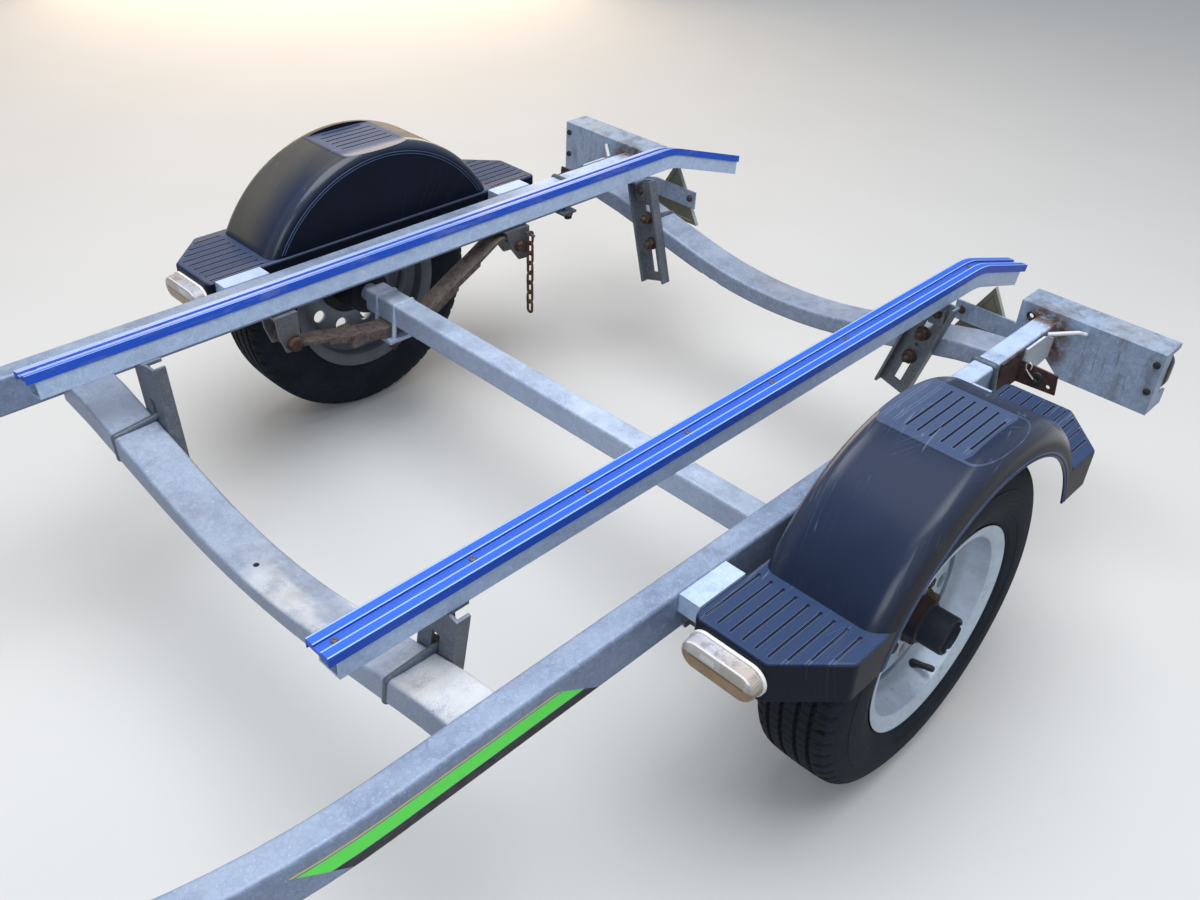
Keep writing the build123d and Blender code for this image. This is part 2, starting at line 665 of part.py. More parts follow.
os.makedirs("parts", exist_ok=True)

export_piece("rail_left", rail(1))
export_piece("rail_right", rail(-1))
export_piece("front_crossmember", crossmember(FRONT_CROSS_X, FRONT_CROSS_TOP, FRONT_CROSS_LOW))
export_piece("rear_crossmember", crossmember(REAR_CROSS_X, REAR_CROSS_TOP, REAR_CROSS_LOW))

z_tongue = (RAIL_Z_LOW, RAIL_Z_TOP)
tongue = block(TONGUE_X_REAR, TONGUE_X_FRONT, -TONGUE_HALF + 0.3, TONGUE_HALF - 0.3, *z_tongue)
tongue = fillet(tongue.edges().filter_by(Axis.X), TUBE_ROUND)
tie = plate_xy([(1600, -150), (1600, 150), (1900, 30), (1900, -30)], RAIL_Z_LOW - GUSSET_THICK, RAIL_Z_LOW)
export_piece("tongue", tongue + tie)

axle = block(-AXLE_HALF, AXLE_HALF, -AXLE_Y_END, AXLE_Y_END, AXLE_Z - AXLE_HALF, AXLE_Z + AXLE_HALF)
axle = fillet(axle.edges().filter_by(Axis.Y), TUBE_ROUND)
for end in (-1, 1):
    y0, y1 = sorted((end * AXLE_Y_END, end * (HUB_FACE_Y + 8)))
    axle = axle + rod_y(0, y0, y1, AXLE_Z, STUB_R)
export_piece("axle", axle)

export_piece("spring_left", leaf_spring())
export_piece("spring_right", mirrored(leaf_spring()))
hangers = both(spring_hangers())
chain_pin = rod_y(-341, -SPRING_Y + SPRING_WIDTH / 2, -SPRING_Y + SPRING_WIDTH / 2 + 28, 344, 3.5)
hangers[3] = hangers[3] + chain_pin
export_piece("spring_hangers", hangers)
export_piece("axle_clamps", both([axle_clamp()]))

export_piece("bunk_left", bunk_tube(LEFT_TUBE_TAIL))
export_piece("bunk_right", mirrored(rolled(bunk_tube(RIGHT_TUBE_TAIL))))
export_piece("bunk_strip_left", bunk_strip(LEFT_STRIP_TAIL))
export_piece("bunk_strip_right", mirrored(rolled(bunk_strip(RIGHT_STRIP_TAIL))))

export_piece("tyre_left", tyre())
export_piece("tyre_right", mirrored(tyre()))
export_piece("wheel_left", wheel())
export_piece("wheel_right", mirrored(wheel()))
export_piece("hub_left", hub())
export_piece("hub_right", mirrored(hub()))

export_piece("fender_left", fender())
export_piece("fender_right", mirrored(fender()))

brackets = []
# x from, x to
for x0, x1 in [(260, 352), (-391, -301)]:
    y0 = RAIL_Y_OUT + 0.2
    y1 = FENDER_Y_IN - SIDE_GAP
    plates = [block(x0, x1, y0, y1, RAIL_Z_TOP - 5, RAIL_Z_TOP), block(x0, x1, y1 - 4, y1, 374, RAIL_Z_TOP),
              block(x0, x0 + 5, y0, y1, 398, RAIL_Z_TOP), block(x1 - 5, x1, y0, y1, 398, RAIL_Z_TOP)]
    brackets.append(joined(plates))
export_piece("fender_brackets", both(brackets))

# x is the crossmember's face, y and z the channel's lower inner corner, tab the small angle's y
front = {"x": FRONT_CROSS_X - 0.2, "forward": False, "top": FRONT_CROSS_TOP, "low": FRONT_CROSS_LOW}
rear = {"x": REAR_CROSS_X + CROSS_WIDTH + 0.2, "forward": True, "top": REAR_CROSS_TOP, "low": REAR_CROSS_LOW}
left = [front | {"y": 306, "z": 233, "lean": 10, "rolled": False, "tab": (367, 397)},
        rear | {"y": 292, "z": 256, "lean": 15.5, "rolled": False, "tab": (367, 397)}]
right = [front | {"y": 289, "z": 233, "lean": 6, "rolled": True, "tab": (348, 372)},
         rear | {"y": 260, "z": 245, "lean": 15.5, "rolled": True, "tab": (350, 374)}]
left_fittings = [bunk_bracket(row) for row in left] + [bracket_tab(row) for row in left]
right_fittings = [bunk_bracket(row) for row in right] + [bracket_tab(row) for row in right]
export_piece("bunk_brackets", left_fittings + [mirrored(piece) for piece in right_fittings])
bolts = [bunk_u_bolt(row) for row in left] + [mirrored(bunk_u_bolt(row)) for row in right]
export_piece("u_bolts", bolts + both([rail_u_bolt()]))

export_piece("lamp_plates", both([lamp_plate()]))
export_piece("rail_end_fittings", both([gusset(), tie_hook()]))
export_piece("side_brackets", both([side_bracket()]))

face_x = FENDER_X + STEP_X_HALF + SIDE_GAP
lamp_plane = Plane(origin=(face_x, LAMP_Y, LAMP_Z), x_dir=(0, 1, 0), z_dir=(1, 0, 0))
gasket = extrude(lamp_plane * SlotOverall(LAMP_LONG, LAMP_HIGH), amount=GASKET)
lens_plane = lamp_plane.offset(GASKET + 0.2)
lens = extrude(lens_plane * SlotOverall(LAMP_LONG - 4, LAMP_HIGH - 4), amount=LENS, taper=14)
export_piece("marker_gaskets", both([gasket]))
export_piece("marker_lenses", both([lens]))

lamp_x = PLATE_X - PLATE_THICK - 0.2
lamp_body = block(lamp_x - 30, lamp_x, 556, 734, 350, 438)
lamp_body = lamp_body + block(lamp_x - 48, lamp_x - 30, 556, 743, 353, 435)
export_piece("rear_lamp_bodies", both([lamp_body]))
lens_body = block(lamp_x - 62, lamp_x - 48.2, 560, 740, 356, 432)
export_piece("rear_lamp_lenses", both([lens_body]))

reflector_x = PLATE_X - 25.2
triangle = plate_yz([(329, 306), (479, 306), (404, 436)], reflector_x - 9, reflector_x)
panel = plate_yz([(343, 314), (465, 314), (404, 420)], reflector_x - 3, reflector_x + 1)
export_piece("reflectors", both([triangle - panel]))

export_piece("rear_chain", chain(-341, -SPRING_Y + SPRING_WIDTH / 2 + 16, 347.6, 8, 24, 6))

# Coupling
coupler_x = FRONT_X - 40
coupler_z = 430
dome = [(0, 0), (40, 0), (39, 14), (34, 26), (25, 35), (12, 40), (0, 40)]
outline = make_face(Polyline(*[(r, 0, h) for r, h in dome], close=True))
head = Pos(coupler_x, 0, coupler_z) * revolve(outline, Axis.Z)
skirt = rod_z(coupler_x, 0, coupler_z - 16, coupler_z, 40)
body_top = RAIL_Z_TOP + 36
body = block(2440, coupler_x, -34, 34, RAIL_Z_TOP + 0.3, body_top)
cup = rod_z(coupler_x, 0, coupler_z - 60, coupler_z + 10, BALL_R)
cup = cup + rod_z(coupler_x, 0, coupler_z, coupler_z + 24, 16)
export_piece("coupler", joined([head, skirt, body]) - cup)
# how far behind the ball, how far above the body
lever = [(80, 0.3), (60, 0.3), (58, 28), (200, 32), (200, 22), (76, 18)]
handle = plate_xz([(coupler_x - back, body_top + up) for back, up in lever], -9, 9)
export_piece("coupler_handle", handle)

# Winch post
foot_z = RAIL_Z_TOP + 0.3
post = block(POST_X - POST_HALF, POST_X + POST_HALF, -POST_HALF, POST_HALF, foot_z, POST_Z_TOP)
post = fillet(post.edges().filter_by(Axis.Z), TUBE_ROUND)
foot = block(POST_X - 70, POST_X + 70, -50, 50, foot_z, foot_z + 6)
brace = plate_xz([(POST_X + 60, foot_z + 6), (POST_X + 66, foot_z + 6), (POST_X + 25, 520),
                  (POST_X + 20, 520)], -20, 20)
stop_arm = block(POST_X - 110, POST_X, -20, 20, POST_Z_TOP - 60, POST_Z_TOP - 20)
export_piece("winch_post", joined([post, foot, brace, stop_arm]))
# y, how far behind the arm's end
vee = [(-75, 60), (-75, 25), (0, 0), (75, 25), (75, 60), (0, 22)]
stop_points = [(POST_X - 110.3 - back, y) for y, back in vee]
export_piece("bow_stop", plate_xy(stop_points, POST_Z_TOP - 80, POST_Z_TOP))

back_x = POST_X + POST_HALF + 0.2
frame = block(back_x, back_x + 5, -52, 52, WINCH_Z - 60, WINCH_Z + 62)
cheek = [(back_x, WINCH_Z - 50), (DRUM_X + 29, WINCH_Z - 22), (CRANK_X + 20, WINCH_Z + 30),
         (CRANK_X + 16, WINCH_Z + 62), (back_x, WINCH_Z + 62)]
for y0 in (-52, 47):
    frame = frame + plate_xz(cheek, y0, y0 + 5)
frame = frame - rod_y(DRUM_X, -60, 60, WINCH_Z, 8.3) - rod_y(CRANK_X, -60, 60, CRANK_Z, 7.3)
export_piece("winch_frame", frame)
# distance along y, radius
drum = [(-60, 0), (-60, 8), (-41, 8), (-41, 44), (-38, 44), (-38, 32), (34, 32), (34, 44), (41, 44),
        (41, 8), (60, 8), (60, 0)]
export_piece("winch_drum", turned_y(drum, DRUM_X, 0, WINCH_Z))
arm = block(CRANK_X - 9, CRANK_X + 9, -84, -78, CRANK_Z - CRANK_ARM - 10, CRANK_Z + 9)
crank = rod_y(CRANK_X, -78, 58, CRANK_Z, 7) + arm
crank = crank + rod_y(CRANK_X, -202, -84, CRANK_Z - CRANK_ARM, 6)
export_piece("winch_crank", crank)
grip = rod_y(CRANK_X, -200, -84.3, CRANK_Z - CRANK_ARM, 14)
grip = grip - rod_y(CRANK_X, -201, -80, CRANK_Z - CRANK_ARM, 6.3)
export_piece("crank_grip", grip)

# Jockey wheel
outer = rod_z(JOCKEY_X, JOCKEY_Y, TUBE_Z_LOW, TUBE_Z_TOP, JOCKEY_TUBE_R)
clamp = block(JOCKEY_X - 32, JOCKEY_X + 32, TONGUE_HALF + 0.1, JOCKEY_Y, RAIL_Z_LOW + 14, RAIL_Z_LOW + 54)
bore = rod_z(JOCKEY_X, JOCKEY_Y, TUBE_Z_LOW - 10, TUBE_Z_TOP - 6, JOCKEY_TUBE_R - 3)
export_piece("jockey_tube", outer + clamp - bore)
leg_top = TUBE_Z_TOP - 14 - JOCKEY_TRAVEL
export_piece("jockey_leg", rod_z(JOCKEY_X, JOCKEY_Y, FORK_Z + 0.3, leg_top, JOCKEY_TUBE_R - 3.3))
wheel_x = JOCKEY_X - JOCKEY_TRAIL
fork = block(JOCKEY_X - 60, JOCKEY_X + 22, JOCKEY_Y - FORK_Y_HALF, JOCKEY_Y + FORK_Y_HALF,
             FORK_Z - FORK_THICK, FORK_Z)
blade = [(wheel_x - 15, JOCKEY_WHEEL_R - 15), (wheel_x + 15, JOCKEY_WHEEL_R - 15), (JOCKEY_X - 10, FORK_Z),
         (JOCKEY_X - 60, FORK_Z)]
for y0 in (JOCKEY_Y - FORK_Y_HALF, JOCKEY_Y + FORK_Y_HALF - 5):
    fork = fork + plate_xz(blade, y0, y0 + 5)
fork = fork + rod_y(wheel_x, JOCKEY_Y - FORK_Y_HALF - 4, JOCKEY_Y + FORK_Y_HALF + 4, JOCKEY_WHEEL_R, 6)
export_piece("jockey_fork", fork)
# distance from the middle, radius
rim = [(-28, 6.3), (-28, 16), (-22, 16), (-22, 62), (22, 62), (22, 16), (28, 16), (28, 6.3)]
export_piece("jockey_rim", turned_y(rim, wheel_x, JOCKEY_Y, JOCKEY_WHEEL_R))
r = JOCKEY_WHEEL_R
rubber = [(-22, 62.2), (-29, r - 16), (-18, r), (18, r), (29, r - 16), (22, 62.2)]
export_piece("jockey_tyre", turned_y(rubber, wheel_x, JOCKEY_Y, JOCKEY_WHEEL_R))
spindle = rod_z(JOCKEY_X, JOCKEY_Y, TUBE_Z_TOP + 0.3, TUBE_Z_TOP + 30, 9)
crank = block(JOCKEY_X - 10, JOCKEY_X + 120, JOCKEY_Y - 8, JOCKEY_Y + 8, TUBE_Z_TOP + 30, TUBE_Z_TOP + 38)
knob = rod_z(JOCKEY_X + 110, JOCKEY_Y, TUBE_Z_TOP + 38, TUBE_Z_TOP + 100, 11)
export_piece("jockey_handle", spindle + crank + knob)
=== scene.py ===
"""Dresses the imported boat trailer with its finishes, tread, bolts and lamps, then sets camera and light."""

import math

import bmesh
import bpy
from mathutils import Euler, Matrix, Vector


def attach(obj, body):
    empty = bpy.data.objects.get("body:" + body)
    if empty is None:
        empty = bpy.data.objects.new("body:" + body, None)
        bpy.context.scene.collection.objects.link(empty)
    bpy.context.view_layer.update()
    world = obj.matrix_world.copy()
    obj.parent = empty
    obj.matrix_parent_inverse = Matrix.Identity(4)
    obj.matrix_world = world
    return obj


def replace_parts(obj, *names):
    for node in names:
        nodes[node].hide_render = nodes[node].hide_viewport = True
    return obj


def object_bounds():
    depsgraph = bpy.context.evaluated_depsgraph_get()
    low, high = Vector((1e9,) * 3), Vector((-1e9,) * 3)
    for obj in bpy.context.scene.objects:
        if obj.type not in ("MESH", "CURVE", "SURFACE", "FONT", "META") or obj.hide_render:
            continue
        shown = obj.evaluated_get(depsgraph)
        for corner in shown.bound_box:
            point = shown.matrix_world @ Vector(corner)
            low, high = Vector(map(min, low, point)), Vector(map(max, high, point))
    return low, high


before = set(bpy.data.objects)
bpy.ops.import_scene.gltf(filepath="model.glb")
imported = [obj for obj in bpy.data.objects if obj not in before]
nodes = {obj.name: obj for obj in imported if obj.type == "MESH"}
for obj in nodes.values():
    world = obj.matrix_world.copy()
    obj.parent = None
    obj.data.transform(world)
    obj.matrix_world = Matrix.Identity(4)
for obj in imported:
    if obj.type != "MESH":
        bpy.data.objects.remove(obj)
cad_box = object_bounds()

# Sizes are in millimetres in the axle's frame: x is 0 at the wheels' axis, y 0 on the centre line and
# z 0 on the ground. at() turns them into metres in the model's frame.
FRONT_X = 2720
MM = 0.001
TO_MM = 1000.0
SHIFT_X = cad_box[1].x * TO_MM - FRONT_X

AXLE_Z = 271
TYRE_R = 271
WHEEL_Y = 684
DISC_Y = 692
DISC_WELD_Y = 678
DISC_WELD_R = 129
VENT_R = 14
VENT_CIRCLE_R = 101
VENT_COUNT = 10
NUT_CIRCLE_R = 57
NUT_COUNT = 5
HUB_BOSS_R = 33
HUB_CAP_R = 30.5
HUB_CAP_Y = 768
RAIL_Y = 524
RAIL_Z_TOP = 428
RAIL_Z_LOW = 360
FENDER_X = -37
STEP_X_HALF = 404
STEP_Z = 426
ARCH_Z = 284
ARCH_R = 305
PAD_DROP = 9
LAMP_Y = 641
LAMP_Z = 391
FENDER_Y_IN = 578
FENDER_Y_OUT = 770
ARCH_OPEN_R = 259
SPRING_Y = 524
BUNK_Y = 377
BUNK_EDGE_Y = 357
BUNK_Z_LOW = 457
BUNK_Z_SCREW = 495.2
RIGHT_ROLL = math.radians(12)
PLATE_X = -695.3
WINCH_X = 2140
WINCH_Z = 760
SIDES = ((1, "left"), (-1, "right"))


def at(x, y, z):
    """A place in metres in the model's frame."""
    return Vector(((x + SHIFT_X) * MM, y * MM, z * MM))


# Finishes


class Value:
    """A socket in a finish, so that shader maths is written as Python."""

    def __init__(self, finish, socket):
        self.finish = finish
        self.socket = socket

    def calc(self, operation, *values):
        return self.finish.node("ShaderNodeMath", {"operation": operation}, dict(enumerate(values)))

    def __add__(self, other):
        return self.calc("ADD", self, other)

    __radd__ = __add__

    def __sub__(self, other):
        return self.calc("SUBTRACT", self, other)

    def __rsub__(self, other):
        return self.calc("SUBTRACT", other, self)

    def __mul__(self, other):
        return self.calc("MULTIPLY", self, other)

    __rmul__ = __mul__

    def __neg__(self):
        return self.calc("MULTIPLY", self, -1.0)

    def __abs__(self):
        return self.calc("ABSOLUTE", self)

    def __mod__(self, other):
        return self.calc("FLOORED_MODULO", self, other)

    def larger(self, other):
        return self.calc("MAXIMUM", self, other)

    def smaller(self, other):
        return self.calc("MINIMUM", self, other)


class Finish:
    """A procedural material. What is the same all over is set on its shader, the rest comes by nodes."""

    def __init__(self, name, **same):
        self.material = bpy.data.materials.new(name)
        self.material.use_nodes = True
        self.nodes = self.material.node_tree.nodes
        self.links = self.material.node_tree.links
        self.shader = self.nodes["Principled BSDF"]
        self.colour = None
        for socket, value in same.items():
            self.shader.inputs[socket.replace("_", " ")].default_value = value
        where = self.nodes.new("ShaderNodeTexCoord")
        self.place = Value(self, where.outputs["Object"])
        self.x, self.y, self.z = self.split(self.place)
        self.facing_x, self.facing_y, self.up = self.split(Value(self, where.outputs["Normal"]))

    def node(self, kind, settings, inputs, output=0):
        """A node with its settings first, then its sockets' values or links."""
        new = self.nodes.new(kind)
        for key, value in settings.items():
            setattr(new, key, value)
        for key, value in inputs.items():
            if isinstance(value, Value):
                self.links.new(value.socket, new.inputs[key])
            else:
                new.inputs[key].default_value = value
        return Value(self, new.outputs[output])

    def split(self, vector):
        first = self.node("ShaderNodeSeparateXYZ", {}, {0: vector})
        outputs = first.socket.node.outputs
        return [Value(self, outputs[i]) for i in range(3)]

    def join(self, x, y, z):
        return self.node("ShaderNodeCombineXYZ", {}, {0: x, 1: y, 2: z})

    def noise(self, size, detail=3, rough=0.5, place=None):
        """Clouds from 0 to 1, about size metres across."""
        inputs = {"Vector": place or self.place, "Scale": 1 / size, "Detail": detail, "Roughness": rough}
        return self.node("ShaderNodeTexNoise", {}, inputs)

    def cells(self, size, place=None):
        """A random value from 0 to 1 for each crystal about size metres across."""
        inputs = {"Vector": place or self.place, "Scale": 1 / size}
        colour = self.node("ShaderNodeTexVoronoi", {}, inputs, 1)
        return self.node("ShaderNodeSeparateColor", {}, {0: colour})

    def borders(self, size, place=None):
        """How far the nearest border between crystals about size metres across is, as a part of size."""
        inputs = {"Vector": place or self.place, "Scale": 1 / size}
        return self.node("ShaderNodeTexVoronoi", {"feature": "DISTANCE_TO_EDGE"}, inputs)

    def near(self, x, y, z, reach):
        """1 about a place, given in millimetres on the left, and its twin on the right, 0 beyond reach."""
        here = self.join(self.x, abs(self.y), self.z)
        away = self.node("ShaderNodeVectorMath", {"operation": "DISTANCE"}, {0: here, 1: at(x, y, z)}, 1)
        return 1 - self.step(away, reach * 0.3 * MM, reach * MM)

    def about(self, x, z):
        """How far a place is from a level axis, given in millimetres, and its turn about that axis."""
        along = self.x - (SHIFT_X + x) * MM
        up = self.z - z * MM
        return along.calc("SQRT", along * along + up * up), up.calc("ARCTAN2", up, along)

    def warped(self, size, reach):
        """The place pushed about by clouds of a size, so that a pattern's borders come out uneven."""
        inputs = {"Vector": self.place, "Scale": 1 / size, "Detail": 3}
        push = self.node("ShaderNodeTexNoise", {}, inputs, 1)
        push = self.node("ShaderNodeVectorMath", {"operation": "SCALE"}, {0: push, "Scale": reach})
        return self.node("ShaderNodeVectorMath", {"operation": "ADD"}, {0: self.place, 1: push})

    def stretched(self, x, y, z):
        """The place with each axis multiplied, so that a pattern is drawn out along the small ones."""
        return self.node("ShaderNodeVectorMath", {"operation": "MULTIPLY"}, {0: self.place, 1: (x, y, z)})

    def step(self, value, low, high):
        """0 below low, 1 above high and smooth between."""
        inputs = {"Value": value, "From Min": low, "From Max": high}
        return self.node("ShaderNodeMapRange", {"interpolation_type": "SMOOTHSTEP"}, inputs)

    def band(self, value, middle, half, soft):
        """1 within half of the middle, 0 beyond that by soft."""
        return 1 - self.step(abs(value - middle), half, half + soft)

    def within(self, value, low, high, soft):
        """1 between low and high and 0 outside, with soft ends."""
        return self.step(value, low, low + soft) * (1 - self.step(value, high - soft, high))

    def blend(self, mask, first, second):
        """The first colour where mask is 0 and the second where it is 1."""
        pair = [colour if isinstance(colour, Value) else (*colour, 1.0) for colour in (first, second)]
        return self.node("ShaderNodeMix", {"data_type": "RGBA"}, {0: mask, 6: pair[0], 7: pair[1]}, 2)

    def lay(self, mask, colour):
        """Lay a colour over the finish's own so far, where mask is 1."""
        self.colour = self.blend(mask, self.colour, colour)

    def paint(self, colour=None, roughness=None, metallic=None, bump=None, height=0.0005, round_edge=0,
              coat=None):
        """Link what changes over the surface to the shader; height and round_edge are in metres."""
        for socket, value in (("Base Color", colour), ("Roughness", roughness), ("Metallic", metallic),
                              ("Coat Weight", coat)):
            if value is not None:
                self.links.new(value.socket, self.shader.inputs[socket])
        normal = None
        if round_edge:
            normal = self.node("ShaderNodeBevel", {"samples": 4}, {"Radius": round_edge})
        if bump is not None:
            inputs = {"Distance": height, "Height": bump}
            if normal:
                inputs["Normal"] = normal
            normal = self.node("ShaderNodeBump", {}, inputs)
        if normal:
            self.links.new(normal.socket, self.shader.inputs["Normal"])
        return self


def zinc(name, light, dark, dust=0.5, stain=0.0, extra=None, pale=None, over=None, rims=0.3,
         chalk=(0.42, 0.50, 0.62), pale_colour=(0.84, 0.84, 0.84)):
    """Hot dipped zinc: crystals with darker borders, clouds of weather, chalky dust on top, rust in spots,
    painted shade on faces that point down.

    extra says where more rust lies, pale where the top is whiter, and over paints last.
    """
    f = Finish(name, IOR=1.5)
    bend = f.noise(0.03, 2)
    place = f.warped(0.007, 0.005)
    crystal = f.cells(0.0085, place)
    border = 1 - f.step(f.borders(0.0085, place), 0.01, 0.16)
    cloud = f.noise(0.05, 5, 0.62)
    wide = f.noise(0.22, 2, 0.5)
    grain = f.noise(0.0018, 3, 0.7)
    shade = crystal * 0.30 + cloud * 0.55 + wide * 0.35 + grain * 0.40 - 0.30
    f.colour = f.blend(shade, dark, light)
    deep = tuple(part * 0.62 for part in dark)
    f.lay(border * rims * (0.5 + bend), deep)
    spotted = f.step(f.noise(0.0045, 4, 0.75), 0.58, 0.72)
    f.lay(spotted * 0.50, deep)
    bright = f.step(f.noise(0.0035, 3, 0.7), 0.58, 0.70)
    f.lay(bright * 0.45, tuple(min(1.0, part * 1.5) for part in light))
    dusty = f.step(f.up, 0.5, 0.98) * f.step(cloud * 0.6 + wide * 0.6 + grain * 0.1, 0.44, 0.82) * dust
    f.lay(dusty, chalk)
    if pale:
        white = pale(f) * f.step(f.up, 0.3, 0.9) * f.step(cloud * 0.6 + grain * 0.4, 0.30, 0.55)
        f.lay(white, pale_colour)
    # painted shade: faces that point down are laid over with dark grey
    under = 1 - f.step(f.up, -0.6, 0.1)
    f.lay(under * 0.35, (0.10, 0.10, 0.10))
    speck = f.step(f.noise(0.006, 5, 0.7), 0.70, 0.79) * f.step(cloud, 0.45, 0.7)
    rust = speck * stain
    if extra:
        ragged = f.step(f.noise(0.014, 6, 0.75), 0.32, 0.54)
        rust = rust.larger(extra(f) * ragged)
    mottle = f.noise(0.010, 5, 0.7)
    rust_colour = f.blend(f.step(mottle, 0.35, 0.65), (0.055, 0.032, 0.024), (0.19, 0.105, 0.062))
    f.lay(rust, rust_colour)
    if over:
        over(f)
    rough = 0.40 + crystal * 0.14 + dusty * 0.25 + rust * 0.3
    metal = (1 - dusty) * (1 - rust) * 0.30
    bump = crystal * 0.12 - border * 0.12 + grain * 0.35 + cloud * 0.5 + rust * mottle
    return f.paint(f.colour, rough, metal, bump, 0.0006, 0.0018)


def rail_marks(f):
    """Where the rails, plates and their fittings rust: at the welds, and in runs down from them."""
    weld = f.near(-697, 538, 412, 56).larger(f.near(-697, 545, 372, 46)).larger(f.near(-692, 512, 428, 34))
    weld = weld.larger(f.near(-640, 549, 420, 16)).larger(f.near(-640, 549, 372, 30) * 0.8)
    run = f.noise(0.006, 3, 0.6, f.stretched(1, 1, 0.06))
    runs = f.step(run, 0.60, 0.70) * f.step(abs(f.y), 0.56, 0.58) * f.within(f.z, 0.330, 0.436, 0.03)
    return weld.larger(runs * 0.7)


def rear_pale(f):
    """Where the rails' tops are paler, between the fenders and the lamp plates."""
    ahead = f.step(f.x, (SHIFT_X - 430) * MM, (SHIFT_X - 300) * MM)
    return (1 - ahead) * f.step(f.z, 0.42, 0.425)


def plate_smears(f):
    """Grey smears down the plates' faces, and a yellowish stain on their upper edge."""
    smear = f.step(f.noise(0.030, 5, 0.65, f.stretched(1, 1, 0.35)), 0.46, 0.66) * f.step(-f.x, 1.0, 1.1)
    f.lay(smear * 0.55, (0.13, 0.14, 0.165))
    stain = f.near(-728, 660, 446, 60) * f.step(f.noise(0.02, 4, 0.7), 0.42, 0.62) * f.step(f.up, 0.5, 0.9)
    f.lay(stain * 0.5, (0.42, 0.36, 0.28))


def cross_pale(f):
    """Where the front crossmember's top is pale: almost white by the left rail, chalky along the bow."""
    corner = f.near(640, 435, 385, 105) * f.step(f.y, 0.2, 0.21) * 0.75
    drawn = f.noise(0.05, 3, 0.6, f.stretched(1, 0.3, 1))
    swath = f.near(641, 150, 322, 210) * f.step(f.y, -0.06, 0.04) * f.step(drawn, 0.30, 0.58)
    return corner.larger(swath * 0.6)


def cross_marks(f):
    """The drain hole in the front crossmember's top, painted as a dark disc of shade, and a grey bloom along
    the middle of the bow.
    """
    middle = 1 - f.step(abs(f.y), 0.10, 0.30)
    bloom = f.step(f.noise(0.09, 4, 0.6), 0.45, 0.65) * middle * f.step(f.up, 0.5, 0.9)
    f.lay(bloom * 0.35, (0.30, 0.30, 0.31))
    # painted shade: a near-black disc stands in for the shade inside the drain hole
    away = f.node("ShaderNodeVectorMath", {"operation": "DISTANCE"}, {0: f.place, 1: at(649, 14, 310)}, 1)
    hole = (1 - f.step(away, 0.0042, 0.0050)) * f.step(f.up, 0.6, 0.7)
    f.lay(hole, (0.006, 0.006, 0.007))


# lower edge, upper edge, colour
STRIPE_BANDS = [
    (363, 380, (0.008, 0.009, 0.013)),
    (380.5, 403.5, (0.14, 1.0, 0.11)),
    (405.5, 408.2, (0.85, 0.72, 0.06)),
]


def rail_stripe(f):
    """A plain slanted stripe, green over black with a thin yellow line, on the left rail's outer face."""
    x = (f.x - SHIFT_X * MM) * TO_MM
    z = f.z * TO_MM
    face = f.step(f.facing_y, 0.6, 0.7) * f.step(f.y, 0.3, 0.31)
    lean = x - z * 1.6
    length = f.within(lean, -90, 268, 1.2) * face
    worn = 1 - f.step(f.noise(0.009, 5, 0.7), 0.68, 0.74) * 0.6
    for low, high, shade in STRIPE_BANDS:
        f.lay(length * f.within(z, low, high, 0.6) * worn, shade)


def rusted(name, light=(0.17, 0.10, 0.065), dark=(0.045, 0.028, 0.022), dust=0.4, orange=0.5):
    """Steel with nothing left but brown rust and the dust on it."""
    f = Finish(name, IOR=1.45, Specular_IOR_Level=0.25)
    flake = f.noise(0.012, 6, 0.7)
    fine = f.noise(0.0022, 4, 0.65)
    f.colour = f.blend(f.step(flake * 0.7 + fine * 0.3, 0.36, 0.64), dark, light)
    if orange:
        f.lay(f.step(f.noise(0.03, 3), 0.55, 0.75) * orange, tuple(p * 1.4 for p in light))
    dusty = f.step(f.up, 0.2, 0.9) * f.step(f.noise(0.02, 5, 0.7), 0.35, 0.7) * dust
    f.lay(dusty, (0.30, 0.26, 0.22))
    return f.paint(f.colour, 0.75 + fine * 0.2, None, flake * 0.7 + fine * 0.5, 0.0012, 0.001)


def tyre_rubber():
    """Road rubber, greyed by dust, with sipes across the tread ribs, painted dark with shade, and fine rings
    on the sidewall.
    """
    f = Finish("tyre_rubber", IOR=1.5, Specular_IOR_Level=0.2)
    radius, turn = f.about(0, AXLE_Z)
    side = abs(f.y) - (WHEEL_Y * MM)
    tread = f.step(radius, (TYRE_R - 13) * MM, (TYRE_R - 8) * MM) * f.band(side, 0, 0.052, 0.002)
    lean = abs(side) * 9.0
    sipe = f.band((turn * (96 / math.tau) + lean) % 1.0, 0.5, 0.06, 0.05) * tread
    fine = f.noise(0.002, 3, 0.6)
    cloud = f.noise(0.05, 4, 0.6)
    ring = f.band((radius * TO_MM) % 7.0, 3.5, 0.5, 0.6) * (1 - tread) * f.step(radius, 0.178, 0.182)
    ring = ring * (1 - f.step(radius, 0.226, 0.23))
    dusty = f.step(cloud * 0.6 + fine * 0.4, 0.35, 0.75)
    f.colour = f.blend(dusty, (0.007, 0.010, 0.016), (0.024, 0.033, 0.050))
    f.lay(tread * 0.5, (0.011, 0.014, 0.020))
    # painted shade: the sipes' slits are laid near black
    f.lay(sipe, (0.004, 0.004, 0.004))
    return f.paint(f.colour, 0.68 + cloud * 0.25, None, fine * 0.25 - sipe * 3 - ring * 0.8, 0.0008)


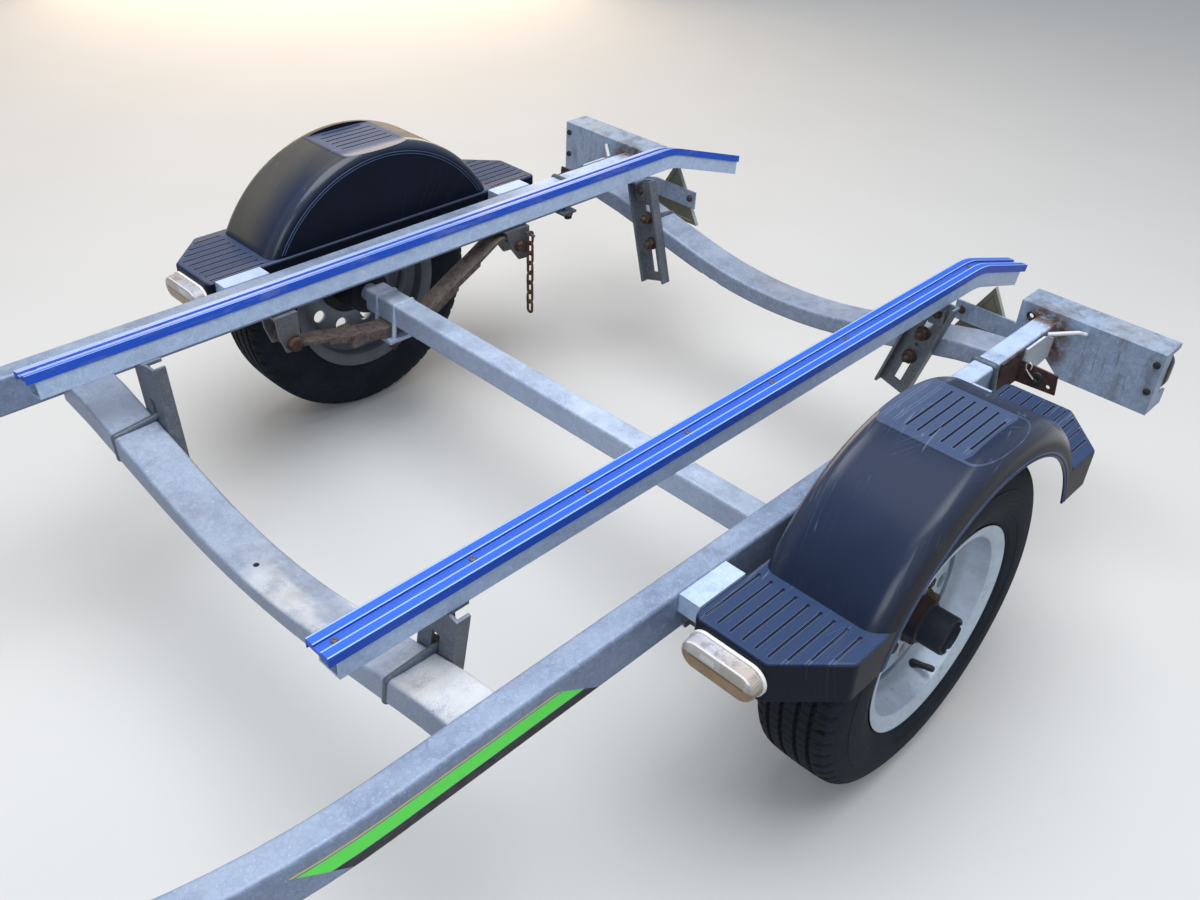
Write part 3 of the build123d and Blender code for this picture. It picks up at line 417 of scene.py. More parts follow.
def fender_plastic(name, film):
    """Moulded black plastic with long scratches; painted bluish sky sheen on top, painted shade and highlights
    at grooves.

    film is how much painted warm tan sheen, a reflection painted on its tops, it carries.
    """
    f = Finish(name, IOR=1.46, Specular_IOR_Level=0.12, Coat_Roughness=0.22)
    cloud = f.noise(0.12, 4, 0.55)
    fine = f.noise(0.0016, 3, 0.6)
    top = f.step(f.up, 0.45, 0.98)
    along = abs(f.x - (SHIFT_X + FENDER_X) * MM)
    y = abs(f.y) * TO_MM
    radius, turn = f.about(FENDER_X, ARCH_Z)
    radius = radius * TO_MM
    turn = turn * (ARCH_R * MM)
    scratch = f.noise(0.010, 1, 0.5, f.join(turn * 0.035, abs(f.y) + turn * 0.16, 0.0))
    scratch = f.band(scratch, 0.5, 0.004, 0.006) * f.step(f.noise(0.11, 3), 0.44, 0.60)
    cross = f.noise(0.009, 1, 0.5, f.join(turn * 0.05, abs(f.y) - turn * 0.55, 0.3))
    cross = f.band(cross, 0.56, 0.003, 0.005) * f.step(f.noise(0.07, 3), 0.55, 0.66)
    scuff = f.step(f.noise(0.006, 5, 0.75), 0.64, 0.72) * f.step(f.noise(0.05, 2), 0.52, 0.68)
    f.colour = f.blend(cloud, (0.005, 0.007, 0.014), (0.009, 0.013, 0.027))
    # painted sky sheen: what faces up is laid over with a lighter blue
    f.lay(f.step(f.up, 0.0, 0.9) * (0.30 + cloud * 0.4), (0.022, 0.041, 0.102))
    # painted warm reflection: a tan sheen on the tops and the slopes at the step's level, as much as film
    # gives
    tan = f.step(y, 600, 700) * f.step(f.up, 0.05, 0.5) * f.step(f.z, 0.428, 0.440) * (0.6 + cloud * 0.5)
    tan = tan.larger(f.step(f.up, 0.8, 0.95) * 0.45) * film
    f.lay(tan.smaller(1.0), (0.125, 0.112, 0.088))
    step_z = STEP_Z * MM
    # painted sky sheen: the step's top is laid a lighter blue
    on_step = f.within(f.z, step_z - 0.0012, step_z + 0.002, 0.0002) * top
    f.lay(on_step * (0.5 + cloud * 0.4), (0.038, 0.068, 0.160))
    pad_z = (ARCH_Z + ARCH_R - PAD_DROP) * MM
    on_pad = f.within(f.z, pad_z - 0.0009, pad_z + 0.0004, 0.0002) * top
    f.lay(on_pad * 0.85, (0.060, 0.092, 0.185))
    # painted shade: the bottoms of the step's grooves and the pad's slots are laid darker
    groove = f.within(f.z, step_z - 0.0018, step_z - 0.0012, 0.0001)
    groove = groove.larger(f.within(f.z, pad_z - 0.0018, pad_z - 0.0012, 0.0001))
    f.lay(groove * 0.9, (0.012, 0.018, 0.034))
    # painted highlight: a pale line along one edge of each groove and slot
    from_groove = abs((y - 580.25) % 19.5 - 9.75)
    beyond = f.step(along, 0.285, 0.290) * (1 - f.step(along, 0.392, 0.394))
    lit = f.band(from_groove, 2.1, 0.30, 0.3) * on_step * beyond * f.within(y, 584, 752, 1.0)
    from_slot = abs((y - 624.9) % 17.5 - 8.75)
    lit = lit.larger(f.band(from_slot, 2.1, 0.35, 0.3) * on_pad * (1 - f.step(along, 0.058, 0.062)))
    f.lay(lit * 0.45, (0.20, 0.26, 0.40))
    # painted shade: the groove between the lip's two beads is laid near black
    lip = f.step(abs(f.facing_y), 0.7, 0.9) * f.step(y, 767, 768.5)
    f.lay(f.within(radius, 261.8, 264.4, 0.3) * lip, (0.001, 0.001, 0.002))
    # painted highlight: a thin light line round the opening's outer rim
    rim = f.within(radius, 269.6, 270.8, 0.4) * f.step(y, 764, 766)
    f.lay(rim * 0.6, (0.10, 0.13, 0.19))
    brown = f.band(radius, 281, 6, 6) * f.step(y, 740, 752)
    f.lay(brown * 0.7, (0.022, 0.020, 0.022))
    f.lay((scratch * 0.5 + cross * 0.4) * (0.08 + top * 0.8), (0.20, 0.25, 0.36))
    f.lay(scuff * (0.10 + top * 0.2), (0.10, 0.12, 0.16))
    rough = 0.34 + cloud * 0.12 + top * 0.10 + fine * 0.08 + scuff * 0.2
    shoulder = (1 - f.step(y, 600, 618)).larger(f.step(y, 738, 752))
    coat = f.step(f.up, 0.10, 0.55) * (0.12 + shoulder * 0.8) * (1 - on_step * 0.8)
    return f.paint(f.colour, rough, None, fine * 0.3 + scratch * 0.5 + cloud * 1.5, 0.0004, 0.002, coat)


def bead_plastic():
    """The fender's raised beads, laid lighter than the walls between them as a painted highlight."""
    f = Finish("bead_plastic", IOR=1.46, Specular_IOR_Level=0.4)
    cloud = f.noise(0.05, 4, 0.6)
    fine = f.noise(0.002, 3, 0.6)
    # painted highlight: the beads' blue is lighter than the fender's own
    f.colour = f.blend(cloud, (0.024, 0.042, 0.095), (0.055, 0.090, 0.190))
    f.lay(f.step(fine, 0.6, 0.7) * 0.3, (0.16, 0.18, 0.22))
    return f.paint(f.colour, 0.36 + cloud * 0.15, None, fine, 0.0002)


def strip_plastic(name, dirt, roll):
    """A bunk's blue strip, painted highlights on its rib edges, painted shade on its sides; dirt is how dusty
    it is, and roll how far it leans.
    """
    f = Finish(name, IOR=1.48, Specular_IOR_Level=0.35)
    cloud = f.noise(0.08, 4, 0.6, f.stretched(0.2, 1, 1))
    streak = f.noise(0.004, 4, 0.6, f.stretched(0.03, 1, 1))
    out = abs(f.y) - (BUNK_EDGE_Y * MM)
    out = out * math.cos(roll) - (f.z - (BUNK_Z_LOW * MM)) * math.sin(roll)
    across = abs(out - ((BUNK_Y - BUNK_EDGE_Y) * MM))
    f.colour = f.blend(cloud * 0.6 + streak * 0.4, (0.012, 0.075, 0.52), (0.035, 0.17, 0.82))
    # painted shade: what does not face up is laid darker
    low = 1 - f.step(f.up, 0.2, 0.7)
    f.lay(low * 0.6, (0.006, 0.055, 0.46))
    # painted highlight: pale lines along the rib edges
    edge = f.band(across, 0.0208, 0.0007, 0.0006) + f.band(across, 0.0078, 0.0007, 0.0008)
    f.lay(edge * f.step(f.up, 0.1, 0.6) * 0.75, (0.46, 0.66, 1.0))
    floor_part = 1 - f.step(across, 0.0062, 0.0070)
    f.lay(floor_part * 0.5, (0.045, 0.12, 0.50))
    if dirt:
        level = f.step(f.up, 0.75, 0.9)
        film = level * f.step(out, 0.022, 0.024) * (0.55 + cloud * 0.5)
        film = film.larger(level * floor_part * 0.75)
        film = film.larger(level * f.within(out, 0.004, 0.0135, 0.002) * 0.55)
        f.lay(film.smaller(0.85), (0.46, 0.56, 0.76))
    grime = f.step(f.noise(0.02, 6, 0.72, f.stretched(0.25, 1, 1)), 0.66 - dirt * 0.3, 0.85 - dirt * 0.25)
    grime = grime * (0.25 + 0.75 * floor_part)
    f.lay(grime, (0.38, 0.40, 0.42))
    scuff = f.step(streak, 0.62, 0.75) * 0.25
    f.lay(scuff, (0.30, 0.46, 0.92))
    rough = 0.36 + cloud * 0.2 + grime * 0.3
    return f.paint(f.colour, rough, None, streak * 0.5 + grime * 0.4, 0.0004, 0.0012)


def plain(name, light, dark, rough=0.5, size=0.02, metal=0.0, bump=0.0003, edge=0.0006, dust=0.3, shine=0.4):
    """A cloudy one-colour finish with a little dust on what faces up."""
    f = Finish(name, IOR=1.5, Specular_IOR_Level=shine)
    cloud = f.noise(size, 4, 0.6)
    fine = f.noise(size / 10, 3, 0.6)
    f.colour = f.blend(cloud, dark, light)
    dusty = f.step(f.up, 0.4, 0.95) * f.step(cloud * 0.5 + fine * 0.5, 0.35, 0.75) * dust
    f.lay(dusty, (0.45, 0.45, 0.44))
    metallic = (1 - dusty) * metal if metal else None
    return f.paint(f.colour, rough + fine * 0.15 + dusty * 0.2, metallic, fine + cloud, bump, edge)


def wheel_paint():
    """Silver paint on the pressed wheel, bright outside, with painted shade on what faces the trailer's middle
    and in its well.
    """
    f = Finish("wheel_paint", IOR=1.5, Metallic=0.45)
    radius, turn = f.about(0, AXLE_Z)
    side = abs(f.y) - (WHEEL_Y * MM)
    outward = f.facing_y * f.y.calc("SIGN", f.y)
    cloud = f.noise(0.04, 5, 0.6)
    fine = f.noise(0.003, 4, 0.65)
    streak = f.noise(0.012, 4, 0.6, f.join(radius, side * 0.3, turn * 0.1))
    f.colour = f.blend(cloud * 0.4 + fine * 0.2 + streak * 0.4, (0.26, 0.31, 0.39), (0.74, 0.86, 1.0))
    # painted shade in the barrel's well
    well = f.within(side, -0.030, 0.028, 0.012) * f.step(radius, 0.126, 0.128)
    f.lay(well * 0.45, (0.16, 0.18, 0.22))
    # painted shade: the disc's back and the barrel's inner side are laid dark
    inner = 1 - f.step(side, -0.040, -0.020)
    back = 1 - f.step(outward, -0.5, -0.2)
    inner_shade = (back * f.step(radius, 0.0, 0.128) + inner * f.step(radius, 0.128, 0.131)).smaller(1.0)
    f.lay(inner_shade * 0.85, f.blend(cloud, (0.040, 0.045, 0.052), (0.095, 0.105, 0.120)))
    grime = f.step(f.noise(0.015, 6, 0.7), 0.56, 0.74)
    f.lay(grime * 0.40, (0.13, 0.13, 0.14))
    weld = f.within(radius, 0.1245, 0.1305, 0.001) * f.within(side, -0.012, 0.0, 0.002)
    f.lay(weld * 0.7, (0.03, 0.032, 0.04))
    spot = f.step(f.noise(0.008, 5, 0.7), 0.70, 0.78)
    f.lay(spot * 0.5, (0.13, 0.080, 0.055))
    rough = 0.36 + fine * 0.2 + grime * 0.2 + inner_shade * 0.15
    return f.paint(f.colour, rough, None, fine + spot + grime * 0.5, 0.0004, 0.0015)


def hub_iron():
    """The hub: brown rust on its boss, worn black paint with bare specks on its cap."""
    f = Finish("hub_iron", IOR=1.5, Specular_IOR_Level=0.3)
    out = abs(f.y) * TO_MM
    cloud = f.noise(0.02, 5, 0.7)
    fine = f.noise(0.0022, 4, 0.7)
    f.colour = f.blend(cloud, (0.003, 0.005, 0.010), (0.010, 0.016, 0.032))
    boss = 1 - f.step(out, HUB_CAP_Y - 42, HUB_CAP_Y - 38)
    rust = boss * f.step(cloud * 0.6 + f.up * 0.25, 0.28, 0.50)
    f.lay(rust * 0.85, f.blend(fine, (0.018, 0.010, 0.009), (0.052, 0.027, 0.021)))
    bare = f.step(fine, 0.62, 0.70) * (1 - boss) * f.step(f.noise(0.012, 3), 0.45, 0.6)
    f.lay(bare * 0.45, (0.10, 0.13, 0.19))
    return f.paint(f.colour, 0.42 + fine * 0.2 + rust * 0.3, None, fine + cloud, 0.0008, 0.0008)


def lamp_lens():
    """A marker lens: white prisms and a bright cell above, a brown line across the middle, tan below, a
    painted highlight on its top front edge.
    """
    f = Finish("marker_lens", IOR=1.49, Coat_Weight=0.5, Coat_Roughness=0.10, Specular_IOR_Level=0.35)
    height = (f.z - (LAMP_Z * MM)) * TO_MM
    along = abs(f.y) * TO_MM - LAMP_Y
    front = f.step(f.facing_x, 0.55, 0.75)
    cloud = f.noise(0.02, 4, 0.6)
    smudge = f.step(f.noise(0.014, 4, 0.6), 0.46, 0.70) * 0.6
    rib = f.band((f.y * TO_MM) % 2.0, 1.0, 0.3, 0.4)
    cell = f.band(height % 2.2, 1.1, 0.35, 0.4)
    tan = f.blend(cloud, (0.24, 0.135, 0.060), (0.44, 0.27, 0.12))
    upper = f.blend(cloud, (0.40, 0.36, 0.32), (0.62, 0.60, 0.58))
    upper = f.blend(f.within(along, 4, 46, 3) * 0.7, upper, (0.34, 0.27, 0.19))
    bright = f.within(along, -26, -2, 2) * f.within(height, 5, 15, 1.5)
    upper = f.blend(bright * 0.75, upper, (0.88, 0.88, 0.88))
    upper = f.blend(rib.larger(cell) * 0.30, upper, (0.78, 0.77, 0.76))
    f.colour = f.blend(f.step(height, 1.5, 3.0), tan, upper)
    line = f.band(height, 1.0, 1.7, 0.5) * (1 - f.step(abs(along), 42, 44))
    f.lay(line * 0.85, (0.10, 0.060, 0.035))
    outline = f.step(abs(along), 44, 52).larger(f.step(abs(height), 15, 20))
    f.lay(outline * 0.45, (0.13, 0.09, 0.06))
    clear = f.blend(f.step(along, -20, 40), (0.50, 0.50, 0.57), (0.46, 0.40, 0.36))
    wall = f.blend(smudge, clear, (0.17, 0.14, 0.14))
    f.lay((1 - front) * f.step(height, 8, 14), wall)
    # painted highlight: the rounded top front edge is laid near white
    edge = f.within(f.facing_x, 0.35, 0.90, 0.15) * f.step(height, 13, 17)
    f.lay(edge * 0.8, (0.95, 0.96, 1.0))
    return f.paint(f.colour, 0.20 + cloud * 0.15, None, rib + cloud, 0.0003)


def reflector_plastic():
    """A triangular reflector: faded olive back, pale rim and a red prism face with a raised border."""
    f = Finish("reflector_plastic", IOR=1.49)
    cloud = f.noise(0.02, 4, 0.6)
    fine = f.noise(0.002, 3, 0.6)
    f.colour = f.blend(cloud, (0.135, 0.130, 0.088), (0.200, 0.195, 0.140))
    rim = 1 - f.step(abs(f.facing_x), 0.4, 0.6)
    f.lay(rim * 0.8, (0.40, 0.45, 0.41))
    rear = f.step(-f.facing_x, 0.5, 0.7)
    prism = f.cells(0.004, f.join(0.0, f.y, f.z))
    red = f.blend(prism, (0.30, 0.008, 0.008), (0.68, 0.03, 0.02))
    border = 1 - f.step(f.borders(0.004, f.join(0.0, f.y, f.z)), 0.02, 0.10)
    red = f.blend(border * 0.6, red, (0.20, 0.005, 0.005))
    f.lay(rear, red)
    rough = 0.50 + fine * 0.2 - rear * 0.35
    return f.paint(f.colour, rough, None, fine + cloud, 0.0003, 0.001)


def rear_lens():
    """The rear lamp's lens in three parts, with fine level ribs: amber outside, red, and clear below."""
    f = Finish("rear_lens", IOR=1.49, Coat_Weight=1.0, Coat_Roughness=0.05)
    y = abs(f.y) * TO_MM
    z = f.z * TO_MM
    fine = f.noise(0.002, 3, 0.6)
    rib = f.band(z % 3.0, 1.5, 0.5, 0.7)
    f.colour = f.blend(fine, (0.34, 0.010, 0.008), (0.52, 0.02, 0.015))
    f.lay(f.step(y, 684, 685), (0.72, 0.22, 0.02))
    clear = f.within(y, 600, 640, 1.0) * (1 - f.step(z, 383, 384))
    f.lay(clear, (0.62, 0.60, 0.58))
    joint = f.band(y, 684.5, 0.8, 0.5)
    f.lay(joint, (0.02, 0.02, 0.02))
    f.lay(rib * 0.3, (0.05, 0.01, 0.01))
    return f.paint(f.colour, 0.14 + fine * 0.1, None, rib + fine * 0.3, 0.0004)


RAIL_LIGHT = (0.32, 0.41, 0.60)
RAIL_DARK = (0.14, 0.18, 0.29)
RAIL_PALE = (0.55, 0.68, 0.92)
rail_zinc = zinc("rail_zinc", RAIL_LIGHT, RAIL_DARK, 0.40, 0.3, rail_marks, rear_pale, rims=0.16,
                 pale_colour=RAIL_PALE)
left_rail_zinc = zinc("left_rail_zinc", RAIL_LIGHT, RAIL_DARK, 0.40, 0.3, rail_marks, rear_pale, rail_stripe,
                      0.16, pale_colour=RAIL_PALE)
cross_zinc = zinc("crossmember_zinc", (0.38, 0.46, 0.62), (0.19, 0.23, 0.33), 0.35, 0.6, None, cross_pale,
                  cross_marks, 0.12, (0.44, 0.50, 0.60))
axle_zinc = zinc("axle_zinc", (0.58, 0.70, 0.94), (0.32, 0.39, 0.54), 0.5, 0.3, rims=0.12,
                 chalk=(0.70, 0.80, 0.95))
bunk_zinc = zinc("bunk_zinc", (0.58, 0.74, 1.0), (0.34, 0.43, 0.62), 0.2, rims=0.10)
bracket_zinc = zinc("bracket_zinc", (0.22, 0.245, 0.29), (0.080, 0.090, 0.11), 0.35, 0.6)
hanger_zinc = zinc("hanger_zinc", (0.19, 0.20, 0.225), (0.080, 0.083, 0.095), 0.3, 0.7)
plate_zinc = zinc("plate_zinc", (0.44, 0.56, 0.78), (0.20, 0.26, 0.38), 0.35, 0.5, rail_marks,
                  over=plate_smears, rims=0.14)
bright_zinc = zinc("bright_zinc", (0.56, 0.72, 0.95), (0.38, 0.48, 0.68), 0.3, 0.2, rims=0.10,
                   chalk=(0.66, 0.78, 0.95))
bolt_zinc = zinc("bolt_zinc", (0.15, 0.19, 0.25), (0.055, 0.070, 0.095), 0.0, 0.4)
hook_zinc = zinc("hook_zinc", (0.74, 0.78, 0.84), (0.50, 0.54, 0.60), 0.8, chalk=(0.70, 0.75, 0.82))
rust_spring = rusted("spring_rust", (0.21, 0.165, 0.155), (0.075, 0.060, 0.058), 0.45)
rust_bolt = rusted("bolt_rust", (0.115, 0.072, 0.054), (0.042, 0.029, 0.025), 0.15)
dark_bolt = rusted("dark_bolt", (0.040, 0.040, 0.045), (0.014, 0.014, 0.017), 0.1)
rust_bracket = rusted("bracket_rust", (0.090, 0.052, 0.052), (0.038, 0.023, 0.025), 0.30, 0.0)
rust_chain = rusted("chain_rust", (0.20, 0.10, 0.06), (0.06, 0.035, 0.028), 0.1)
rubber = plain("plain_rubber", (0.022, 0.023, 0.026), (0.010, 0.011, 0.013), 0.6)
hub_paint = hub_iron()
black_plastic = plain("black_plastic", (0.022, 0.024, 0.028), (0.010, 0.011, 0.014), 0.4)
white_gasket = plain("white_gasket", (1.0, 0.99, 0.97), (0.86, 0.84, 0.81), 0.6, dust=0.0, shine=0.2)
steel_bright = plain("bright_steel", (0.80, 0.80, 0.82), (0.50, 0.50, 0.52), 0.25, metal=0.8, dust=0.0)
screw_steel = plain("screw_steel", (0.20, 0.16, 0.14), (0.07, 0.055, 0.05), 0.45, metal=0.3, dust=0.1)
strap_cloth = plain("strap_cloth", (0.16, 0.20, 0.30), (0.09, 0.11, 0.17), 0.8, dust=0.1, shine=0.2)
tread_rubber = tyre_rubber()
wheel_silver = wheel_paint()
bead = bead_plastic()
marker_lens = lamp_lens()
tail_lens = rear_lens()

FINISHES = {
    left_rail_zinc: ["rail_left"],
    rail_zinc: ["rail_right", "tongue", "winch_post"],
    bright_zinc: ["fender_brackets"],
    hook_zinc: ["rail_end_fittings"],
    cross_zinc: ["front_crossmember", "rear_crossmember"],
    axle_zinc: ["axle", "axle_clamps"],
    hanger_zinc: ["spring_hangers"],
    bunk_zinc: ["bunk_left", "bunk_right"],
    bracket_zinc: ["bunk_brackets"],
    plate_zinc: ["lamp_plates", "coupler", "winch_frame", "jockey_tube", "jockey_leg", "jockey_fork",
                 "jockey_handle", "winch_drum", "winch_crank"],
    bolt_zinc: ["u_bolts"],
    rust_spring: ["spring_left", "spring_right"],
    rust_bracket: ["side_brackets"],
    rust_chain: ["rear_chain"],
    tread_rubber: ["tyre_left", "tyre_right"],
    wheel_silver: ["wheel_left", "wheel_right"],
    hub_paint: ["hub_left", "hub_right"],
    fender_plastic("fender_plastic", 0.0): ["fender_left"],
    # the far fender carries a painted warm tan sheen
    fender_plastic("warm_sheen_fender_plastic", 0.8): ["fender_right"],
    strip_plastic("strip_left", 0.0, 0.0): ["bunk_strip_left"],
    strip_plastic("strip_right", 0.55, RIGHT_ROLL): ["bunk_strip_right"],
    rubber: ["bow_stop", "jockey_tyre", "crank_grip"],
    black_plastic: ["rear_lamp_bodies", "coupler_handle", "jockey_rim"],
    white_gasket: ["marker_gaskets"],
    reflector_plastic(): ["reflectors"],
    tail_lens: ["rear_lamp_lenses"],
    marker_lens: ["marker_lenses"],
}
for finish, names in FINISHES.items():
    for name in names:
        nodes[name].data.materials.clear()
        nodes[name].data.materials.append(finish.material)
left_over = set(nodes) - {name for names in FINISHES.values() for name in names}
if left_over:
    raise ValueError(f"no finish for {sorted(left_over)}")

# Pieces


def added(name, data):
    """A new object in the scene."""
    new = bpy.data.objects.new(name, data)
    bpy.context.scene.collection.objects.link(new)
    return new


class Shape:
    """The points and faces of a piece while it is built, in millimetres in the axle's frame."""

    def __init__(self):
        self.points = []
        self.faces = []

    def add(self, points, faces, move=None):
        start = len(self.points)
        self.points += [move @ Vector(p) if move else Vector(p) for p in points]
        self.faces += [[start + i for i in face] for face in faces]

    def rings(self, rings, move=None, closed=False):
        """A skin over rings of as many points each, capped at both ends unless it closes on itself."""
        count = len(rings[0])
        faces = []
        last = len(rings) if closed else len(rings) - 1
        for i in range(last):
            j = (i + 1) % len(rings)
            for k in range(count):
                m = (k + 1) % count
                faces.append((i * count + k, i * count + m, j * count + m, j * count + k))
        if not closed:
            faces.append(tuple(range(count)))
            faces.append(tuple((len(rings) - 1) * count + k for k in range(count)))
        self.add([p for ring in rings for p in ring], faces, move)

    def turned(self, outline, move=None, sides=32, closed=False):
        """A body turned about z, from (height, radius) pairs."""
        turns = [math.tau * k / sides for k in range(sides)]
        rings = [[(r * math.cos(t), r * math.sin(t), h) for t in turns] for h, r in outline]
        self.rings(rings, move, closed)

    def bar(self, path, radius, sides=12, closed=False):
        """A round bar along points; radius is a number or one for each point."""
        path = [Vector(p) for p in path]
        count = len(path)
        radii = radius if isinstance(radius, list) else [radius] * count
        rings = []
        side = None
        for i, point in enumerate(path):
            before = path[i - 1] if closed or i > 0 else path[i]
            after = path[(i + 1) % count] if closed or i < count - 1 else path[i]
            along = (after - before).normalized()
            if side is None:
                side = along.orthogonal()
            side = (side - along * side.dot(along)).normalized()
            other = along.cross(side)
            turns = [math.tau * k / sides for k in range(sides)]
            rings.append([point + (side * math.cos(t) + other * math.sin(t)) * radii[i] for t in turns])
        self.rings(rings, None, closed)

    def plate(self, outline, thick, move=None, round_off=0.8):
        """A flat plate on z 0, with its edges taken off a little, from (x, y) pairs."""
        middle = Vector([sum(p[axis] for p in outline) / len(outline) for axis in (0, 1)])

        def ring(height, inset):
            points = []
            for x, y in outline:
                out = Vector((x, y)) - middle
                out = out * (1 - inset / max(out.length, 1))
                points.append((middle.x + out.x, middle.y + out.y, height))
            return points

        steps = ((0, round_off), (round_off, 0), (thick - round_off, 0), (thick, round_off))
        self.rings([ring(height, inset) for height, inset in steps], move)

    def piece(self, name, finish, slot, body="chassis", crease=35):
        """Make the object, which rides on a body."""
        mesh = bpy.data.meshes.new(name)
        mesh.from_pydata([at(*p) for p in self.points], [], self.faces)
        work = bmesh.new()
        work.from_mesh(mesh)
        bmesh.ops.recalc_face_normals(work, faces=work.faces)
        work.to_mesh(mesh)
        work.free()
        mesh.shade_smooth()
        mesh.set_sharp_from_angle(angle=math.radians(crease))
        mesh.materials.append(finish.material)
        piece = added(name, mesh)
        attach(piece, body)
        return piece


def facing(place, way, turn=0):
    """The move that takes z to the given way at a place."""
    turned = Vector(way).normalized().to_track_quat("Z", "Y").to_matrix().to_4x4()
    return Matrix.Translation(Vector(place)) @ turned @ Matrix.Rotation(turn, 4, "Z")


def rounded(corners, bend, steps=6):
    """Points along straight runs, each inner corner cut to a small arc about the middle of its bend.

    slerp gives vectors of length 1, so the arc is 1 mm in radius and the runs come in by the bend less 1 mm.
    """
    corners = [Vector(c) for c in corners]
    points = [corners[0]]
    for i in range(1, len(corners) - 1):
        before = (corners[i - 1] - corners[i]).normalized()
        after = (corners[i + 1] - corners[i]).normalized()
        half = before.angle(after) / 2
        cut = bend / math.tan(half)
        centre = corners[i] + (before + after).normalized() * (bend / math.sin(half))
        start = corners[i] + before * cut - centre
        end = corners[i] + after * cut - centre
        for k in range(steps + 1):
            points.append(centre + start.slerp(end, k / steps))
    return points + [corners[-1]]


def nut(shape, place, way, size, turn=0.3):
    """A washer and a hexagon nut on a face; size is the thread's diameter."""
    move = facing(place, way, turn)
    shape.turned([(0, size * 1.1), (size * 0.16, size * 1.1)], move, 24)
    corner = size * 0.98
    outline = [(size * 0.16, corner * 0.9), (size * 0.26, corner), (size * 0.86, corner),
               (size * 0.98, corner * 0.88)]
    shape.turned(outline, move, 6)


def bolt_head(shape, place, way, size, turn=0.3):
    """A washer and a hexagon head on a face."""
    move = facing(place, way, turn)
    shape.turned([(0, size * 1.1), (size * 0.14, size * 1.1)], move, 24)
    corner = size * 0.98
    shape.turned([(size * 0.14, corner), (size * 0.66, corner), (size * 0.78, corner * 0.86)], move, 6)


def thread(shape, place, way, size, length):
    """A threaded end standing out of a nut."""
    outline = []
    pitch = size * 0.17
    count = int(length / pitch)
    for i in range(count):
        outline.append((i * pitch, size * 0.5))
        outline.append((i * pitch + pitch / 2, size * 0.43))
    outline.append((length, size * 0.4))
    shape.turned(outline, facing(place, way), 16)


def arc(x, y, radius, start, sweep, steps):
    """Points of an arc about (x, y), as pairs."""
    turns = [start + sweep * k / steps for k in range(steps + 1)]
    return [(x + radius * math.cos(turn), y + radius * math.sin(turn)) for turn in turns]


TREAD_STEPS = 360
SLOT_PITCH = 6
SLOT_DEPTH = 4.5
# distance from the tyre's middle, radius
TYRE_HALF = [
    (0, 271), (6, 271), (8.4, 271), (9.4, 264.5), (14.6, 264.5), (15.6, 270.9), (22, 270.7), (29.6, 270.4),
    (30.6, 264), (35.8, 264), (36.8, 269.9), (41, 269.4), (45, 268.7), (48, 267.8), (51, 266.4), (54, 264.4),
    (57, 261.6), (59.5, 258.2), (61.8, 254), (63.4, 250), (64, 249.4), (65.6, 246), (67.2, 242), (69, 236),
    (70.4, 230.4), (71.6, 229.8), (72.4, 224), (73, 217), (73, 209), (72.4, 201), (71.4, 195), (70.8, 194.4),
    (69.4, 188), (67.4, 182), (65.4, 177.4), (64.6, 177), (63.2, 173.4), (61.4, 171), (58, 168), (56, 160),
    (53.6, 152.6),
]


def tyre(side):
    """A road tyre with grooves round its tread, slots in its shoulders and rings on its sides."""
    outline = [(-a, r) for a, r in reversed(TYRE_HALF[1:])] + TYRE_HALF
    rings = []
    for k in range(TREAD_STEPS):
        turn = math.tau * k / TREAD_STEPS
        ring = []
        for a, r in outline:
            # the outer shoulder's slots come half a pitch after the inner one's
            offset = SLOT_PITCH // 2 if a > 0 else 0
            if 44 < abs(a) < 60 and (k + offset) % SLOT_PITCH == 0:
                r = r - SLOT_DEPTH
            ring.append((r * math.cos(turn), side * (WHEEL_Y + a), AXLE_Z + r * math.sin(turn)))
        rings.append(ring)
    shape = Shape()
    shape.rings(rings, None, True)
    return shape


def link(length, width, wire):
    """The middle line of a chain link in the xz plane."""
    straight = length / 2 - width / 2
    radius = width / 2 - wire / 2
    ends = arc(0, straight, radius, 0, math.pi, 8) + arc(0, -straight, radius, math.pi, math.pi, 8)
    return [(x, 0, z) for x, z in ends]


for side, name in SIDES:
    treaded = tyre(side).piece(f"tyre_{name}_treaded", tread_rubber, "tyre", f"wheel_{name}", 40)
    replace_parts(treaded, f"tyre_{name}")

# the U-bolts over the axle, and the plates below the springs
AXLE_BOLT_X = 30.3
AXLE_BOLT_HALF = 28.5
AXLE_BOLT_TOP = 301.2
AXLE_BOLT_LOW = 206
CLAMP_Z = 212.7
clamps = Shape()
clamp_nuts = Shape()
for side in (1, -1):
    for y in (side * (SPRING_Y - AXLE_BOLT_HALF), side * (SPRING_Y + AXLE_BOLT_HALF)):
        for x in (-AXLE_BOLT_X, AXLE_BOLT_X):
            nut(clamp_nuts, (x, y, CLAMP_Z), (0, 0, -1), 10)
            thread(clamp_nuts, (x, y, CLAMP_Z - 9.8), (0, 0, -1), 10, 7)
        corners = [(-AXLE_BOLT_X, y, AXLE_BOLT_LOW), (-AXLE_BOLT_X, y, AXLE_BOLT_TOP),
                   (AXLE_BOLT_X, y, AXLE_BOLT_TOP), (AXLE_BOLT_X, y, AXLE_BOLT_LOW)]
        clamps.bar(rounded(corners, 9), 5, 14)
    outline = [(-44, -36), (44, -36), (44, 36), (-44, 36)]
    clamps.plate(outline, 9, Matrix.Translation((0, side * SPRING_Y, CLAMP_Z)), 1.2)
clamps_piece = clamps.piece("axle_u_bolts", axle_zinc, "galvanised")
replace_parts(clamps_piece, "axle_clamps")
clamp_nuts.piece("axle_u_bolt_nuts", rust_bolt, "rusty_steel")

